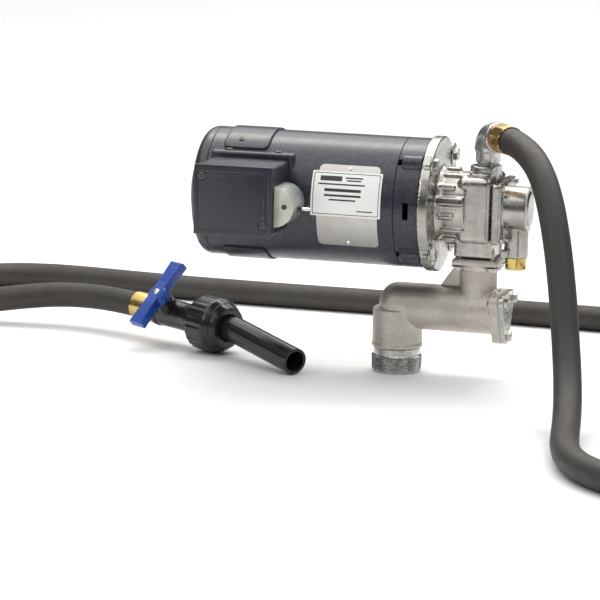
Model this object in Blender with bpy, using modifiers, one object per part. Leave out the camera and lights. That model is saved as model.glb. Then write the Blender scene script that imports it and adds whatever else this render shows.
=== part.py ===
"""Gear oil pump: a 56C-frame motor drives an external gear pump. Its suction housing screws into a drum bung.
A hose runs from the discharge elbow, along the ground, to a hand nozzle with a ball valve.

The frame is in metres with +Z up. +X runs along the motor from its rear end to the pump, and +Y points back.
The origin is the centre of the bung adapter's lower end face."""

import math

import bmesh
import bpy
from mathutils import Euler, Matrix, Vector

# Driving dimensions, in metres
GAP = 0.0003  # left between pieces that meet
SHAFT_Y = -0.015  # the motor's axis, in front of the suction line
SHAFT_Z = 0.207
SHELL_R = 0.0767
SHELL_WALL = 0.005
REAR_X = -0.2430  # the motor's rear face
CAP_R = 0.0455  # the raised round cap on the rear bell
CAP_T = 0.0075
SHELL_X = (-0.2180, 0.0120)
FACE_X = 0.0415  # the motor's mounting face
FLANGE_T = 0.0118  # the pump flange
FACE_BOLT_R = 0.0746  # a 149.2 mm bolt circle
BELL_R = 0.0400
BLOCK_X = (0.0780, 0.1180)  # the pump body's gear block
COVER_T = 0.0120
GEAR_PITCH_R = 0.0150
GEAR_TEETH = 12
GEAR_X = (0.0979, 0.1176)
CAVITY_X = 0.0976
CAVITY_R = 0.0178
IDLER_Y = SHAFT_Y + 2 * GEAR_PITCH_R
PUMP_SHAFT_R = 0.0075
PIN_R = 0.0060
PORT_X = 0.1040  # both ports stand on this line, at Y = 0
BYPASS_X = 0.1440
BYPASS_R = 0.0095
BASE_Z = 0.0800  # the suction pipe's axis
PIPE_R = 0.0275
PIPE_BORE_R = 0.0210
RISER_X = 0.09725
RISER_R = 0.0220
HOUSING_TOP_Z = 0.1450
COVER_PLATE_X = 0.1282
NPT_2_R = 0.03015
ELBOW_Z = 0.2900
ELBOW_TURN = math.radians(-52)  # the discharge points this way, from +X
HOSE_R = 0.0160
NOZZLE_REAR = Vector((-0.355, 0.082, 0.0400))
NUT_CENTRE = Vector((-0.2385, 0.020, 0.0352))
SPOUT_TIP = Vector((-0.105, -0.077, 0.0168))
STEM_TILT = math.radians(45)  # the nozzle lies rolled towards the front
VALVE_AT = 0.0640  # along the nozzle, from its rear end
HANDLE_HALF = 0.0480
BOLT_ANGLES = (45, 135, 225, 315)  # the face bolts, in degrees from the top towards the front
BOX_SCREWS = ((-0.1992, 0.2440), (-0.1250, 0.1900))  # X and Z
TOGGLE_X = -0.0920
TOGGLE_Y = -0.1180
TOGGLE_Z = 0.2065
FOOT_BOLTS = ((0.0775, -0.0205), (0.1170, -0.0205), (0.0775, 0.0205), (0.1170, 0.0205))  # X and Y
LUG_ANGLES = (0, 120, 240)  # the strainer cover's lugs, in degrees from straight down
LUG_CIRCLE_R = 0.0290

# The hose's route: from inside the pump fitting, down to the ground, round to the back and up to the nozzle
ROUTE = (
    (0.1314, -0.0351, 0.2900),
    (0.1502, -0.0591, 0.2900),
    (0.1785, -0.0965, 0.2795),
    (0.2020, -0.1335, 0.2495),
    (0.2190, -0.1620, 0.2030),
    (0.2310, -0.1800, 0.1500),
    (0.2410, -0.2020, 0.0970),
    (0.2530, -0.2400, 0.0510),
    (0.2640, -0.2970, 0.0225),
    (0.2730, -0.3620, 0.0163),
    (0.2900, -0.4440, 0.0163),
    (0.3300, -0.5090, 0.0163),
    (0.3950, -0.5465, 0.0163),
    (0.4680, -0.5445, 0.0163),
    (0.5295, -0.5030, 0.0163),
    (0.5630, -0.4340, 0.0163),
    (0.5605, -0.3460, 0.0163),
    (0.5330, -0.2150, 0.0163),
    (0.5030, -0.0700, 0.0163),
    (0.4720, 0.0750, 0.0163),
    (0.4400, 0.2000, 0.0163),
    (0.3960, 0.2720, 0.0163),
    (0.3300, 0.3160, 0.0163),
    (0.2500, 0.3330, 0.0163),
    (0.1100, 0.3400, 0.0163),
    (-0.0700, 0.3430, 0.0163),
    (-0.2500, 0.3400, 0.0163),
    (-0.4200, 0.3450, 0.0163),
    (-0.5450, 0.3670, 0.0163),
    (-0.6220, 0.3550, 0.0163),
    (-0.6830, 0.3050, 0.0163),
    (-0.7070, 0.2350, 0.0163),
    (-0.6950, 0.1630, 0.0163),
    (-0.6450, 0.1080, 0.0190),
    (-0.5750, 0.0890, 0.0260),
    (-0.5100, 0.1015, 0.0370),
    (-0.4480, 0.1155, 0.0420),
    (-0.3868, 0.0989, 0.0413),
    (-0.3422, 0.0752, 0.0395),
)
ROUTE_SPACING = 0.060

STEEL = ((0.62, 0.62, 0.60), 0.30, 1.0)
ZINC = ((0.70, 0.70, 0.66), 0.35, 1.0)
CAST = ((0.55, 0.52, 0.48), 0.50, 1.0)
DIECAST = ((0.72, 0.71, 0.69), 0.25, 1.0)
NAVY = ((0.035, 0.040, 0.060), 0.35, 0.0)
BRASS = ((0.75, 0.58, 0.25), 0.25, 1.0)
RUBBER = ((0.045, 0.040, 0.036), 0.60, 0.0)
BLACK = ((0.012, 0.012, 0.013), 0.30, 0.0)
BLUE = ((0.02, 0.08, 0.35), 0.35, 0.0)
CARBON = ((0.04, 0.04, 0.04), 0.60, 0.0)
COPPER = ((0.60, 0.30, 0.18), 0.30, 1.0)
MAGNET = ((0.10, 0.10, 0.11), 0.60, 0.0)
CREAM = ((0.75, 0.72, 0.62), 0.45, 0.0)
SILVER = ((0.80, 0.80, 0.78), 0.30, 1.0)

X_AXIS = Vector((1, 0, 0))
Y_AXIS = Vector((0, 1, 0))
Z_AXIS = Vector((0, 0, 1))


def collection(name, hidden=False):
    made = bpy.data.collections.new(name)
    made.hide_render = hidden
    bpy.context.scene.collection.children.link(made)
    return made


def clear():
    for obj in list(bpy.data.objects):
        bpy.data.objects.remove(obj, do_unlink=True)


clear()
PARTS = collection("gear_oil_pump")
CUTTERS = collection("cutters", hidden=True)


def finish(obj, name, look):
    """Gives a finished object its own Principled material, or makes it a hidden tool where look is None."""
    if look is None:
        obj.hide_render = True
        obj.display_type = "WIRE"
        return obj
    colour, roughness, metallic = look
    mat = bpy.data.materials.new(name)
    mat.use_nodes = True
    shader = mat.node_tree.nodes["Principled BSDF"]
    shader.inputs["Base Color"].default_value = (*colour, 1)
    shader.inputs["Roughness"].default_value = roughness
    shader.inputs["Metallic"].default_value = metallic
    obj.data.materials.clear()
    obj.data.materials.append(mat)
    return obj


def add(name, data, look, at=(0, 0, 0), axis=None, parent=None):
    """Places data, its local Z turned along axis where one is given."""
    obj = bpy.data.objects.new(name, data)
    (CUTTERS if look is None else PARTS).objects.link(obj)
    obj.parent = parent
    obj.location = at
    if axis is not None:
        obj.rotation_euler = Vector(axis).to_track_quat("Z", "Y").to_euler()
    return finish(obj, name, look)


def smooth(mesh, degrees=35):
    mesh.shade_smooth()
    mesh.set_sharp_from_angle(angle=math.radians(degrees))


def cylinder(name, radius, length, look=None, at=(0, 0, 0), axis=None, sides=20, top=None, **where):
    """A cylinder, or a cone where top is given, from at along axis."""
    mesh = bpy.data.meshes.new(name)
    work = bmesh.new()
    shift = Matrix.Translation((0, 0, length / 2))
    upper = radius if top is None else top
    bmesh.ops.create_cone(
        work, cap_ends=True, segments=sides, radius1=radius, radius2=upper, depth=length, matrix=shift
    )
    work.to_mesh(mesh)
    work.free()
    smooth(mesh)
    return add(name, mesh, look, at, axis, **where)


def box(name, low, high, look=None, edge=0.0, **where):
    """A box between two corners, its origin at its centre, with its edges rounded."""
    low, high = Vector(low), Vector(high)
    mesh = bpy.data.meshes.new(name)
    work = bmesh.new()
    bmesh.ops.create_cube(work, size=1.0, matrix=Matrix.Diagonal((*(high - low), 1)))
    work.to_mesh(mesh)
    work.free()
    obj = add(name, mesh, look, (low + high) / 2, **where)
    if edge:
        round_edges(obj, edge)
    return obj


def round_edges(obj, width, segments=2):
    bevel = obj.modifiers.new("rounded", "BEVEL")
    bevel.width = width
    bevel.segments = segments
    bevel.limit_method = "ANGLE"
    return obj


def turned(name, profile, look=None, closed=True, sides=20, **where):
    """Turns a profile of (radius, height) points about local Z. An open one starts and ends on the axis."""
    mesh = bpy.data.meshes.new(name)
    edges = [(i, i + 1) for i in range(len(profile) - 1)]
    if closed:
        edges.append((len(profile) - 1, 0))
    mesh.from_pydata([(r, 0, z) for r, z in profile], edges, [])
    obj = add(name, mesh, look, **where)
    screw = obj.modifiers.new("turned", "SCREW")
    screw.steps = sides
    screw.render_steps = sides
    screw.use_merge_vertices = True
    screw.merge_threshold = 0.00001
    screw.use_smooth_shade = False
    return obj


def ring(name, inner, outer, length, look=None, **where):
    return turned(name, [(outer, length), (outer, 0), (inner, 0), (inner, length)], look, **where)


def outline(name, loops, thickness, look=None, at=(0, 0, 0), axis=None, **where):
    """A flat plate: the first loop is its edge and the others are its holes. Local Z runs through it."""
    curve = bpy.data.curves.new(name, "CURVE")
    curve.dimensions = "2D"
    curve.fill_mode = "BOTH"
    curve.extrude = thickness / 2
    for loop in loops:
        spline = curve.splines.new("POLY")
        spline.points.add(len(loop) - 1)
        for point, (x, y) in zip(spline.points, loop):
            point.co = (x, y, 0, 1)
        spline.use_cyclic_u = True
    return as_mesh(add(name, curve, look, at, axis, **where), name, look)


def tube(name, points, radius, look=None, radii=None, resolution=4, **where):
    """A round bar through points; radii scales it at each of them."""
    curve = bpy.data.curves.new(name, "CURVE")
    curve.dimensions = "3D"
    curve.bevel_depth = radius
    curve.bevel_resolution = resolution
    curve.use_fill_caps = True
    spline = curve.splines.new("POLY")
    spline.points.add(len(points) - 1)
    for i, point in enumerate(points):
        spline.points[i].co = (*point, 1)
        spline.points[i].radius = radii[i] if radii else 1.0
    return add(name, curve, look, **where)


def as_mesh(obj, name, look):
    """The curve object as a mesh object whose caps are welded on."""
    bpy.context.view_layer.update()
    graph = bpy.context.evaluated_depsgraph_get()
    mesh = bpy.data.meshes.new_from_object(obj.evaluated_get(graph))
    work = bmesh.new()
    work.from_mesh(mesh)
    bmesh.ops.remove_doubles(work, verts=work.verts, dist=0.00001)
    bmesh.ops.recalc_face_normals(work, faces=work.faces)
    work.to_mesh(mesh)
    work.free()
    smooth(mesh)
    place, parent = obj.matrix_local.copy(), obj.parent
    bpy.data.objects.remove(obj, do_unlink=True)
    made = bpy.data.objects.new(name, mesh)
    (CUTTERS if look is None else PARTS).objects.link(made)
    made.parent = parent
    made.matrix_local = place
    return finish(made, name, look)


def combine(obj, operation, others):
    for other in others:
        step = obj.modifiers.new(other.name, "BOOLEAN")
        step.operation = operation
        step.object = other
        step.solver = "EXACT"
    return obj


def cut(obj, *others):
    return combine(obj, "DIFFERENCE", others)


def join(obj, *others):
    return combine(obj, "UNION", others)


def keep(obj, other):
    return combine(obj, "INTERSECT", [other])


def on_shaft(x, y=SHAFT_Y):
    """A place on the motor's axis, or on the idler's."""
    return (x, y, SHAFT_Z)


def around_shaft(x, radius, degrees, y=SHAFT_Y):
    """A place at a radius from the motor's axis; degrees run from the top towards the front."""
    a = math.radians(degrees)
    return (x, y - radius * math.sin(a), SHAFT_Z + radius * math.cos(a))


def arc(centre, radius, start, stop, steps):
    """Points on an arc in a plane, by angles in degrees, both ends included."""
    found = []
    for i in range(steps + 1):
        a = math.radians(start + (stop - start) * i / steps)
        found.append((centre[0] + radius * math.cos(a), centre[1] + radius * math.sin(a)))
    return found


def hex_bolt(name, at, axis, across_flats, head, shank_r, shank, look=STEEL, **where):
    """A hex-headed bolt: at is the underside of its head, and the shank runs on along axis."""
    corner = across_flats / math.sqrt(3)
    bolt = cylinder(
        name, shank_r, shank + head / 2, look, Vector(at) - Vector(axis) * head / 2, axis, 10, **where,
    )
    crown = cylinder(name + "_head", corner, head, None, Vector(at) - Vector(axis) * head, axis, 6, **where)
    return join(bolt, crown)


def sector(name, inner, outer, x_range, from_deg, to_deg, look, edge=0.006):
    """A curved plate on the motor's shell, between two angles counted from the top towards the front."""
    plate = ring(
        name, inner, outer, x_range[1] - x_range[0], look, at=on_shaft(x_range[0]), axis=X_AXIS, sides=60,
    )
    middle = math.radians((from_deg + to_deg) / 2)
    half = outer * math.sin(math.radians((to_deg - from_deg) / 2))
    low = inner * 0.4
    high = outer + 0.004
    half_length = (x_range[1] - x_range[0]) / 2 - 0.0001
    window = box(name + "_window", (-half_length, -half, 0), (half_length, half, high - low))
    spin = Euler((middle, 0, 0)).to_matrix()
    window.rotation_euler = spin.to_euler()
    foot = Vector(on_shaft((x_range[0] + x_range[1]) / 2))
    window.location = foot + spin @ Vector((0, 0, (low + high) / 2))
    corners = window.modifiers.new("corners", "BEVEL")
    corners.width = edge
    corners.segments = 2
    corners.limit_method = "NONE"
    corners.affect = "EDGES"
    return keep(plate, window)


# The motor


def motor_casings():
    shell = ring(
        "motor_shell", SHELL_R - SHELL_WALL, SHELL_R, SHELL_X[1] - SHELL_X[0], NAVY,
        at=on_shaft(SHELL_X[0]), axis=X_AXIS, sides=48,
    )
    windows = []
    for side, low, high in (("top", 0.060, 0.090), ("bottom", -0.090, -0.060)):
        windows.append(box(
            "brush_window_" + side,
            (-0.197, SHAFT_Y - 0.016, SHAFT_Z + low), (-0.152, SHAFT_Y + 0.016, SHAFT_Z + high),
        ))
    lead_hole = cylinder("lead_hole", 0.009, 0.04, at=around_shaft(-0.160, 0.060, 90), axis=-Y_AXIS, sides=16)
    cut(shell, *windows, lead_hole)

    # The rear bell is a cup: its rim is at the shell and its hub holds the rear bearing
    depth = SHELL_X[0] - GAP - REAR_X
    wall = 0.005
    cup = [
        (0, wall), (0.0125, wall), (0.0125, 0.0165), (0.0165, 0.0165), (0.0165, wall), (CAP_R - wall, wall),
        (CAP_R - wall, CAP_T + wall), (0.060, CAP_T + wall), (SHELL_R - wall, 0.020), (SHELL_R - wall, depth),
        (SHELL_R, depth), (SHELL_R, CAP_T + 0.0130), (0.0745, CAP_T + 0.0060), (0.0690, CAP_T + 0.0015),
        (0.0640, CAP_T), (CAP_R, CAP_T), (CAP_R, 0), (0, 0),
    ]
    bell = turned("rear_end_bell", cup, NAVY, closed=False, sides=48, at=on_shaft(REAR_X), axis=X_AXIS)
    for i in range(8):
        slot = box("rear_slot_%d" % (i + 1), (-0.01, -0.0045, 0.026), (0.02, 0.0045, 0.054), edge=0.0)
        spin = Euler((math.radians(22.5 + 45 * i), 0, 0)).to_matrix()
        slot.location = Vector(on_shaft(REAR_X)) + spin @ Vector((0.005, 0, 0.040))
        slot.rotation_euler = spin.to_euler()
        cut(bell, slot)

    # The front bell carries the front bearing and the threaded ears of the mounting face
    start = SHELL_X[1] + GAP
    length = FACE_X - start
    ring_profile = [
        (SHELL_R, length), (SHELL_R, 0), (SHELL_R - SHELL_WALL, 0), (SHELL_R - SHELL_WALL, length - 0.009),
        (0.0215, length - 0.009), (0.0215, length - 0.022), (0.0178, length - 0.022),
        (0.0178, length - 0.0085), (0.0110, length - 0.0085), (0.0110, length),
    ]
    front = turned("front_end_bell", ring_profile, NAVY, sides=48, at=on_shaft(start), axis=X_AXIS)
    ears = []
    holes = []
    for i, angle in enumerate(BOLT_ANGLES):
        ears.append(cylinder(
            "face_ear_%d" % (i + 1), 0.0095, length - 0.006,
            at=around_shaft(start + 0.006, FACE_BOLT_R, angle),
            axis=X_AXIS, sides=20,
        ))
        holes.append(cylinder(
            "face_hole_%d" % (i + 1), 0.0051, 0.020, at=around_shaft(FACE_X - 0.016, FACE_BOLT_R, angle),
            axis=X_AXIS, sides=16,
        ))
    join(front, *ears)
    cut(front, *holes)
    for i, angle in enumerate((90, 180, 270)):
        vent = box("face_vent_%d" % (i + 1), (-0.0035, -0.010, -0.010), (0.0035, 0.010, 0.010))
        vent.location = around_shaft(FACE_X - 0.0145, SHELL_R, angle)
        vent.rotation_euler = (math.radians(angle), 0, 0)
        cut(front, vent)


def motor_inside():
    bearings = (
        ("rear_bearing", REAR_X + 0.0057, 0.0063, 0.0120, 0.0100),
        ("front_bearing", FACE_X - 0.0215, 0.0083, 0.0174, 0.0120),
    )
    for name, seat_x, bore, outer, width in bearings:
        ring(
            name, bore, outer, width, STEEL, at=on_shaft(seat_x), axis=X_AXIS,
        )
    for side, low in (("front", 30), ("back", 210)):
        start, stop = -0.140, -0.020
        arc_out = arc((0, 0), SHELL_R - SHELL_WALL - GAP, low, low + 120, 16)
        arc_in = arc((0, 0), 0.0625, low + 120, low, 16)
        outline(
            "magnet_" + side, [arc_out + arc_in], stop - start, MAGNET,
            at=on_shaft((start + stop) / 2), axis=X_AXIS,
        )
    for side, sign in (("top", 1), ("bottom", -1)):
        x, half = -0.180, 0.0060
        top_z = SHAFT_Z + sign * 0.0235
        end_z = SHAFT_Z + sign * 0.0480
        low_z, high_z = min(top_z, end_z), max(top_z, end_z)
        box("brush_" + side, (x - half, SHAFT_Y - 0.004, low_z), (x + half, SHAFT_Y + 0.004, high_z), CARBON)
        edge_z = sorted((SHAFT_Z + sign * 0.0300, SHAFT_Z + sign * 0.0640))
        holder = box(
            "brush_holder_" + side, (x - half - 0.003, SHAFT_Y - 0.007, edge_z[0]),
            (x + half + 0.003, SHAFT_Y + 0.007, edge_z[1]), BRASS,
        )
        slot_z = sorted((SHAFT_Z + sign * 0.0250, SHAFT_Z + sign * 0.0620))
        slot = box(
            "brush_slot_" + side, (x - half - GAP, SHAFT_Y - 0.0043, slot_z[0]),
            (x + half + GAP, SHAFT_Y + 0.0043, slot_z[1]),
        )
        cut(holder, slot)


def rotor():
    """Everything that turns with the motor's shaft; each piece has its origin on the axis."""
    # The shaft steps down inside the front bell, so that it passes the bell's bore
    shaft = [
        (0, 0.3000), (0.0080, 0.3000), (0.0080, 0.2500), (0.0105, 0.2480), (0.0105, 0.0180), (0.0060, 0.0165),
        (0.0060, 0), (0, 0),
    ]
    turned("motor_shaft", shaft, STEEL, closed=False, sides=24, at=on_shaft(REAR_X + 0.0060), axis=X_AXIS)
    slots = 14
    lobes = []
    for i in range(slots):
        start = 360 * i / slots
        lobes += arc((0, 0), 0.0615, start - 10.5, start + 10.5, 3)
        lobes += [(0.046 * math.cos(math.radians(start + a)), 0.046 * math.sin(math.radians(start + a)))
                  for a in (10.0, 15.7)]
    bore = arc((0, 0), 0.0109, 0, 345, 23)
    outline("armature", [lobes, bore], 0.100, STEEL, at=on_shaft(-0.080), axis=X_AXIS)
    ring("commutator", 0.0109, 0.0230, 0.028, COPPER, at=on_shaft(-0.194), axis=X_AXIS, sides=32)
    hub = ring("cooling_fan", 0.0109, 0.0200, 0.012, BLACK, at=on_shaft(-0.2120), axis=X_AXIS)
    blades = []
    for i in range(8):
        blade = box("fan_blade_%d" % (i + 1), (-0.005, -0.0012, 0.017), (0.005, 0.0012, 0.058))
        spin = Euler((math.radians(45 * i), 0, 0)).to_matrix()
        blade.location = Vector(on_shaft(-0.2060)) + spin @ Vector((0, 0, 0.0375))
        blade.rotation_euler = (spin @ Euler((0, 0, math.radians(25))).to_matrix()).to_euler()
        blades.append(blade)
    join(hub, *blades)
    coupling = [
        (0.0180, 0.030), (0.0180, 0.0), (0.0083, 0.0), (0.0083, 0.0150), (0.0078, 0.0150), (0.0078, 0.030),
    ]
    turned("shaft_coupling", coupling, STEEL, at=on_shaft(0.0500), axis=X_AXIS)
    pump_shaft = [(0, 0.0845), (PUMP_SHAFT_R, 0.0845), (PUMP_SHAFT_R, 0), (0, 0)]
    turned("pump_shaft", pump_shaft, STEEL, closed=False, sides=24, at=on_shaft(0.0660), axis=X_AXIS)


def gear(name, y, phase, bore):
    """A spur gear with straight-flanked teeth and running clearance at the flanks."""
    module = 2 * GEAR_PITCH_R / GEAR_TEETH
    near = 0.48 * module
    tooth = (
        (0.78 * GEAR_PITCH_R, -9.0), (GEAR_PITCH_R - near, -7.7), (GEAR_PITCH_R + near, -4.9),
        (GEAR_PITCH_R + 0.92 * module, -2.6),
    )
    edge = []
    for i in range(GEAR_TEETH):
        middle = phase + 360 * i / GEAR_TEETH
        flank = [(r, middle + a) for r, a in tooth] + [(r, middle - a) for r, a in reversed(tooth)]
        edge += [(r * math.cos(math.radians(a)), r * math.sin(math.radians(a))) for r, a in flank]
    hole = arc((0, 0), bore, 0, 345, 23)
    middle_x = (GEAR_X[0] + GEAR_X[1]) / 2
    return outline(name, [edge, hole], GEAR_X[1] - GEAR_X[0], STEEL, at=on_shaft(middle_x, y), axis=X_AXIS)


def conduit_box():
    front_y = -0.1527
    shell = cylinder("box_saddle_cut", SHELL_R + GAP, 0.30, at=on_shaft(-0.30), axis=X_AXIS, sides=48)
    body = box("conduit_box", (-0.2080, front_y, 0.1765), (-0.1160, -0.0700, 0.2568), NAVY, edge=0.004)
    tab = box("box_tab", (-0.2120, -0.0820, 0.2350), (-0.1120, -0.0560, 0.2640), edge=0.003)
    cavity = box("box_cavity", (-0.2035, -0.1600, 0.1810), (-0.1205, -0.1000, 0.2523))
    lead_hole = cylinder("box_lead_hole", 0.009, 0.05, at=(-0.160, -0.0800, SHAFT_Z), axis=-Y_AXIS, sides=16)
    join(body, tab)
    cut(body, shell, cavity, lead_hole)
    for i, (x, z) in enumerate(BOX_SCREWS):
        boss = cylinder(
            "box_boss_%d" % (i + 1), 0.0050, 0.0555, at=(x, front_y + 0.0560, z), axis=-Y_AXIS, sides=12,
        )
        join(body, boss)
    lid = box(
        "conduit_box_cover", (-0.2090, -0.1560, 0.1755), (-0.1150, front_y - GAP, 0.2578), NAVY, edge=0.0015,
    )
    raised = box("lid_raised", (-0.2020, -0.1580, 0.1825), (-0.1220, -0.1550, 0.2508), edge=0.001)
    join(lid, raised)


def switch():
    """The D-shaped guard on the box's side, with a toggle switch that comes out through its rim."""
    side_x = -0.1160 + GAP
    centre_z = 0.2105
    radius = 0.0230
    wall = 0.0020
    depth = (-0.1450, -0.0940)

    def d_shape(r, flat):
        rim = arc((0, 0), r, -90, 90, 20)
        return [(flat, -r)] + rim[1:-1] + [(flat, r)]

    def guard(name, r, flat, front, back, look):
        # Local Z runs along +Y here, and local X along +X
        obj = outline(name, [d_shape(r, flat)], back - front, look)
        obj.rotation_euler = (math.radians(90), 0, 0)
        obj.location = (side_x, (front + back) / 2, centre_z)
        return obj

    case = guard("switch_guard", radius, 0.0, depth[0], depth[1], CREAM)
    hollow = guard("guard_hollow", radius - wall, -0.010, depth[0] + wall, depth[1] + 0.010, None)
    toggle_hole = cylinder(
        "toggle_hole", 0.0046, 0.030, at=(side_x + 0.010, TOGGLE_Y, TOGGLE_Z), axis=X_AXIS, sides=20,
    )
    cut(case, hollow, toggle_hole)
    body = box(
        "toggle_switch_body", (side_x + 0.0005, TOGGLE_Y - 0.0085, TOGGLE_Z - 0.0110),
        (side_x + 0.0135, TOGGLE_Y + 0.0085, TOGGLE_Z + 0.0110), BLACK, edge=0.0006,
    )
    bushing = cylinder(
        "toggle_bushing", 0.0040, 0.0135, at=(side_x + 0.013, TOGGLE_Y, TOGGLE_Z), axis=X_AXIS, sides=20,
    )
    bore = cylinder(
        "toggle_bore", 0.0028, 0.0080, at=(side_x + 0.0200, TOGGLE_Y, TOGGLE_Z), axis=X_AXIS, sides=16,
    )
    join(body, bushing)
    cut(body, bore)
    lever = [
        (0, 0.0125), (0.0016, 0.0122), (0.0021, 0.0105), (0.0021, 0.0085), (0.0014, -0.0010), (0, -0.0010),
    ]
    turned(
        "toggle_lever", lever, SILVER, closed=False, sides=16, at=(TOGGLE_X, TOGGLE_Y, TOGGLE_Z), axis=X_AXIS,
    )


def motor_trim():
    sector("name_plate", SHELL_R + GAP, SHELL_R + 0.0012, (-0.0790, -0.0060), 52, 127, SILVER)
    sector("brush_cover_top", SHELL_R + GAP, SHELL_R + 0.0022, (-0.2010, -0.1480), -40, 40, NAVY)
    sector("brush_cover_bottom", SHELL_R + GAP, SHELL_R + 0.0022, (-0.2010, -0.1480), 140, 220, NAVY)


# The pump


def pump_body():
    flange_x = FACE_X + GAP
    flange_end = flange_x + FLANGE_T
    body = cylinder("pump_body", 0.0800, FLANGE_T, DIECAST, at=on_shaft(flange_x), axis=X_AXIS, sides=48)
    ribs = 14
    lobed = []
    for i in range(ribs):
        lobed += arc(
            (BELL_R * math.cos(2 * math.pi * i / ribs), BELL_R * math.sin(2 * math.pi * i / ribs)),
            0.0045, 360 * i / ribs - 75, 360 * i / ribs + 75, 3,
        )
    bell_end = BLOCK_X[0] + 0.010
    bell = outline(
        "bell_ribs", [lobed], bell_end - flange_x, at=on_shaft((bell_end + flange_x) / 2), axis=X_AXIS
    )
    block = box(
        "gear_block", (BLOCK_X[0], SHAFT_Y - 0.0330, 0.1660), (BLOCK_X[1], IDLER_Y + 0.0310, 0.2440),
        edge=0.008,
    )
    foot = box("suction_block", (0.0715, -0.0270, 0.1460), (0.1230, 0.0270, 0.1655), edge=0.0025)
    boss = cylinder("discharge_boss", 0.0205, 0.0150, at=(PORT_X, 0, 0.2390), sides=32)
    slab = cylinder(
        "face_flat", 0.0440, 0.012, at=on_shaft(flange_x + FLANGE_T - 0.001), axis=X_AXIS,
        sides=32, top=0.040,
    )
    join(body, bell, block, foot, boss, slab)
    ears = []
    holes = []
    for i, angle in enumerate(BOLT_ANGLES):
        ears.append(cylinder(
            "flange_ear_%d" % (i + 1), 0.0100, FLANGE_T, at=around_shaft(flange_x, FACE_BOLT_R, angle),
            axis=X_AXIS, sides=20,
        ))
        holes.append(cylinder(
            "flange_hole_%d" % (i + 1), 0.0052, 0.030, at=around_shaft(flange_x - 0.01, FACE_BOLT_R, angle),
            axis=X_AXIS, sides=16,
        ))
    join(body, *ears)
    coupling_bay = cylinder(
        "coupling_bay", 0.0330, 0.0840 - flange_x + 0.01, at=on_shaft(flange_x - 0.01), axis=X_AXIS,
    )
    seal_bore = cylinder("seal_bore", 0.0133, 0.0120, at=on_shaft(0.0800), axis=X_AXIS)
    bush_bore = cylinder("bush_bore", 0.0103, 0.0150, at=on_shaft(0.0900), axis=X_AXIS, sides=24)
    drive_bay = cylinder("drive_bay", CAVITY_R, 0.040, at=on_shaft(CAVITY_X), axis=X_AXIS, sides=32)
    idler_bay = cylinder("idler_bay", CAVITY_R, 0.040, at=on_shaft(CAVITY_X, IDLER_Y), axis=X_AXIS, sides=32)
    pin_bore = cylinder("pin_bore", PIN_R + GAP, 0.020, at=on_shaft(0.0888, IDLER_Y), axis=X_AXIS, sides=24)
    suction = cylinder("suction_port", 0.0085, 0.0500, at=(0.1070, 0, 0.1400), sides=24)
    discharge = cylinder("discharge_port", 0.0085, 0.0400, at=(0.1065, 0, 0.2210), sides=24)
    thread = cylinder("discharge_thread", 0.0136, 0.0140, at=(PORT_X, 0, 0.2440), sides=32)
    cut(
        body, *holes, coupling_bay, seal_bore, bush_bore, drive_bay, idler_bay, pin_bore,
        suction, discharge, thread,
    )
    for i, (x, y) in enumerate(FOOT_BOLTS):
        cut(body, cylinder("foot_hole_%d" % (i + 1), 0.0032, 0.0160, at=(x, y, 0.1430), sides=12))
    for i, angle in enumerate(BOLT_ANGLES):
        at = around_shaft(flange_end + GAP, FACE_BOLT_R, angle)
        hex_bolt("flange_bolt_%d" % (i + 1), at, -X_AXIS, 0.0143, 0.0064, 0.0046, 0.0240)


def pump_cover():
    start = BLOCK_X[1] + GAP
    end = start + COVER_T
    cover = box(
        "pump_cover", (start, SHAFT_Y - 0.0310, 0.1660), (end, IDLER_Y + 0.0290, 0.2380), DIECAST, edge=0.004,
    )
    boss = cylinder(
        "shaft_boss", 0.0264, 0.1585 - end + 0.004, at=on_shaft(end - 0.004), axis=X_AXIS, sides=32,
    )
    dome = cylinder("boss_cap", 0.0240, 0.0030, at=on_shaft(0.1575), axis=X_AXIS, sides=32, top=0.0180)
    bypass = cylinder("bypass_boss", 0.0142, 0.0450, at=(BYPASS_X, SHAFT_Y, 0.1500), sides=32)
    web = box(
        "bypass_web", (end - 0.002, SHAFT_Y - 0.0123, 0.1690), (BYPASS_X + 0.003, SHAFT_Y + 0.0123, 0.1930),
    )
    join(cover, boss, dome, bypass, web)
    shaft_bore = cylinder(
        "cover_shaft_bore", 0.0103, 0.0355, at=on_shaft(start - 0.002), axis=X_AXIS, sides=24,
    )
    pin_bore = cylinder(
        "cover_pin_bore", PIN_R + GAP, 0.0100, at=on_shaft(start - 0.002, IDLER_Y), axis=X_AXIS, sides=24,
    )
    bypass_bore = cylinder("bypass_bore", BYPASS_R, 0.0400, at=(BYPASS_X, SHAFT_Y, 0.1480), sides=32)
    cut(cover, shaft_bore, pin_bore, bypass_bore)

    ring("body_bush", PUMP_SHAFT_R + GAP, 0.0100, 0.0052, BRASS, at=on_shaft(0.0922), axis=X_AXIS, sides=24)
    ring(
        "cover_bush", PUMP_SHAFT_R + GAP, 0.0100, 0.0300, BRASS,
        at=on_shaft(start + 0.0006), axis=X_AXIS, sides=24,
    )
    ring("shaft_seal", PUMP_SHAFT_R + GAP, 0.0130, 0.0070, RUBBER, at=on_shaft(0.0845), axis=X_AXIS, sides=24)
    pin = [(0, 0.0360), (PIN_R, 0.0360), (PIN_R, 0), (0, 0)]
    turned("idler_pin", pin, STEEL, closed=False, sides=24, at=on_shaft(0.0892, IDLER_Y), axis=X_AXIS)


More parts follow.
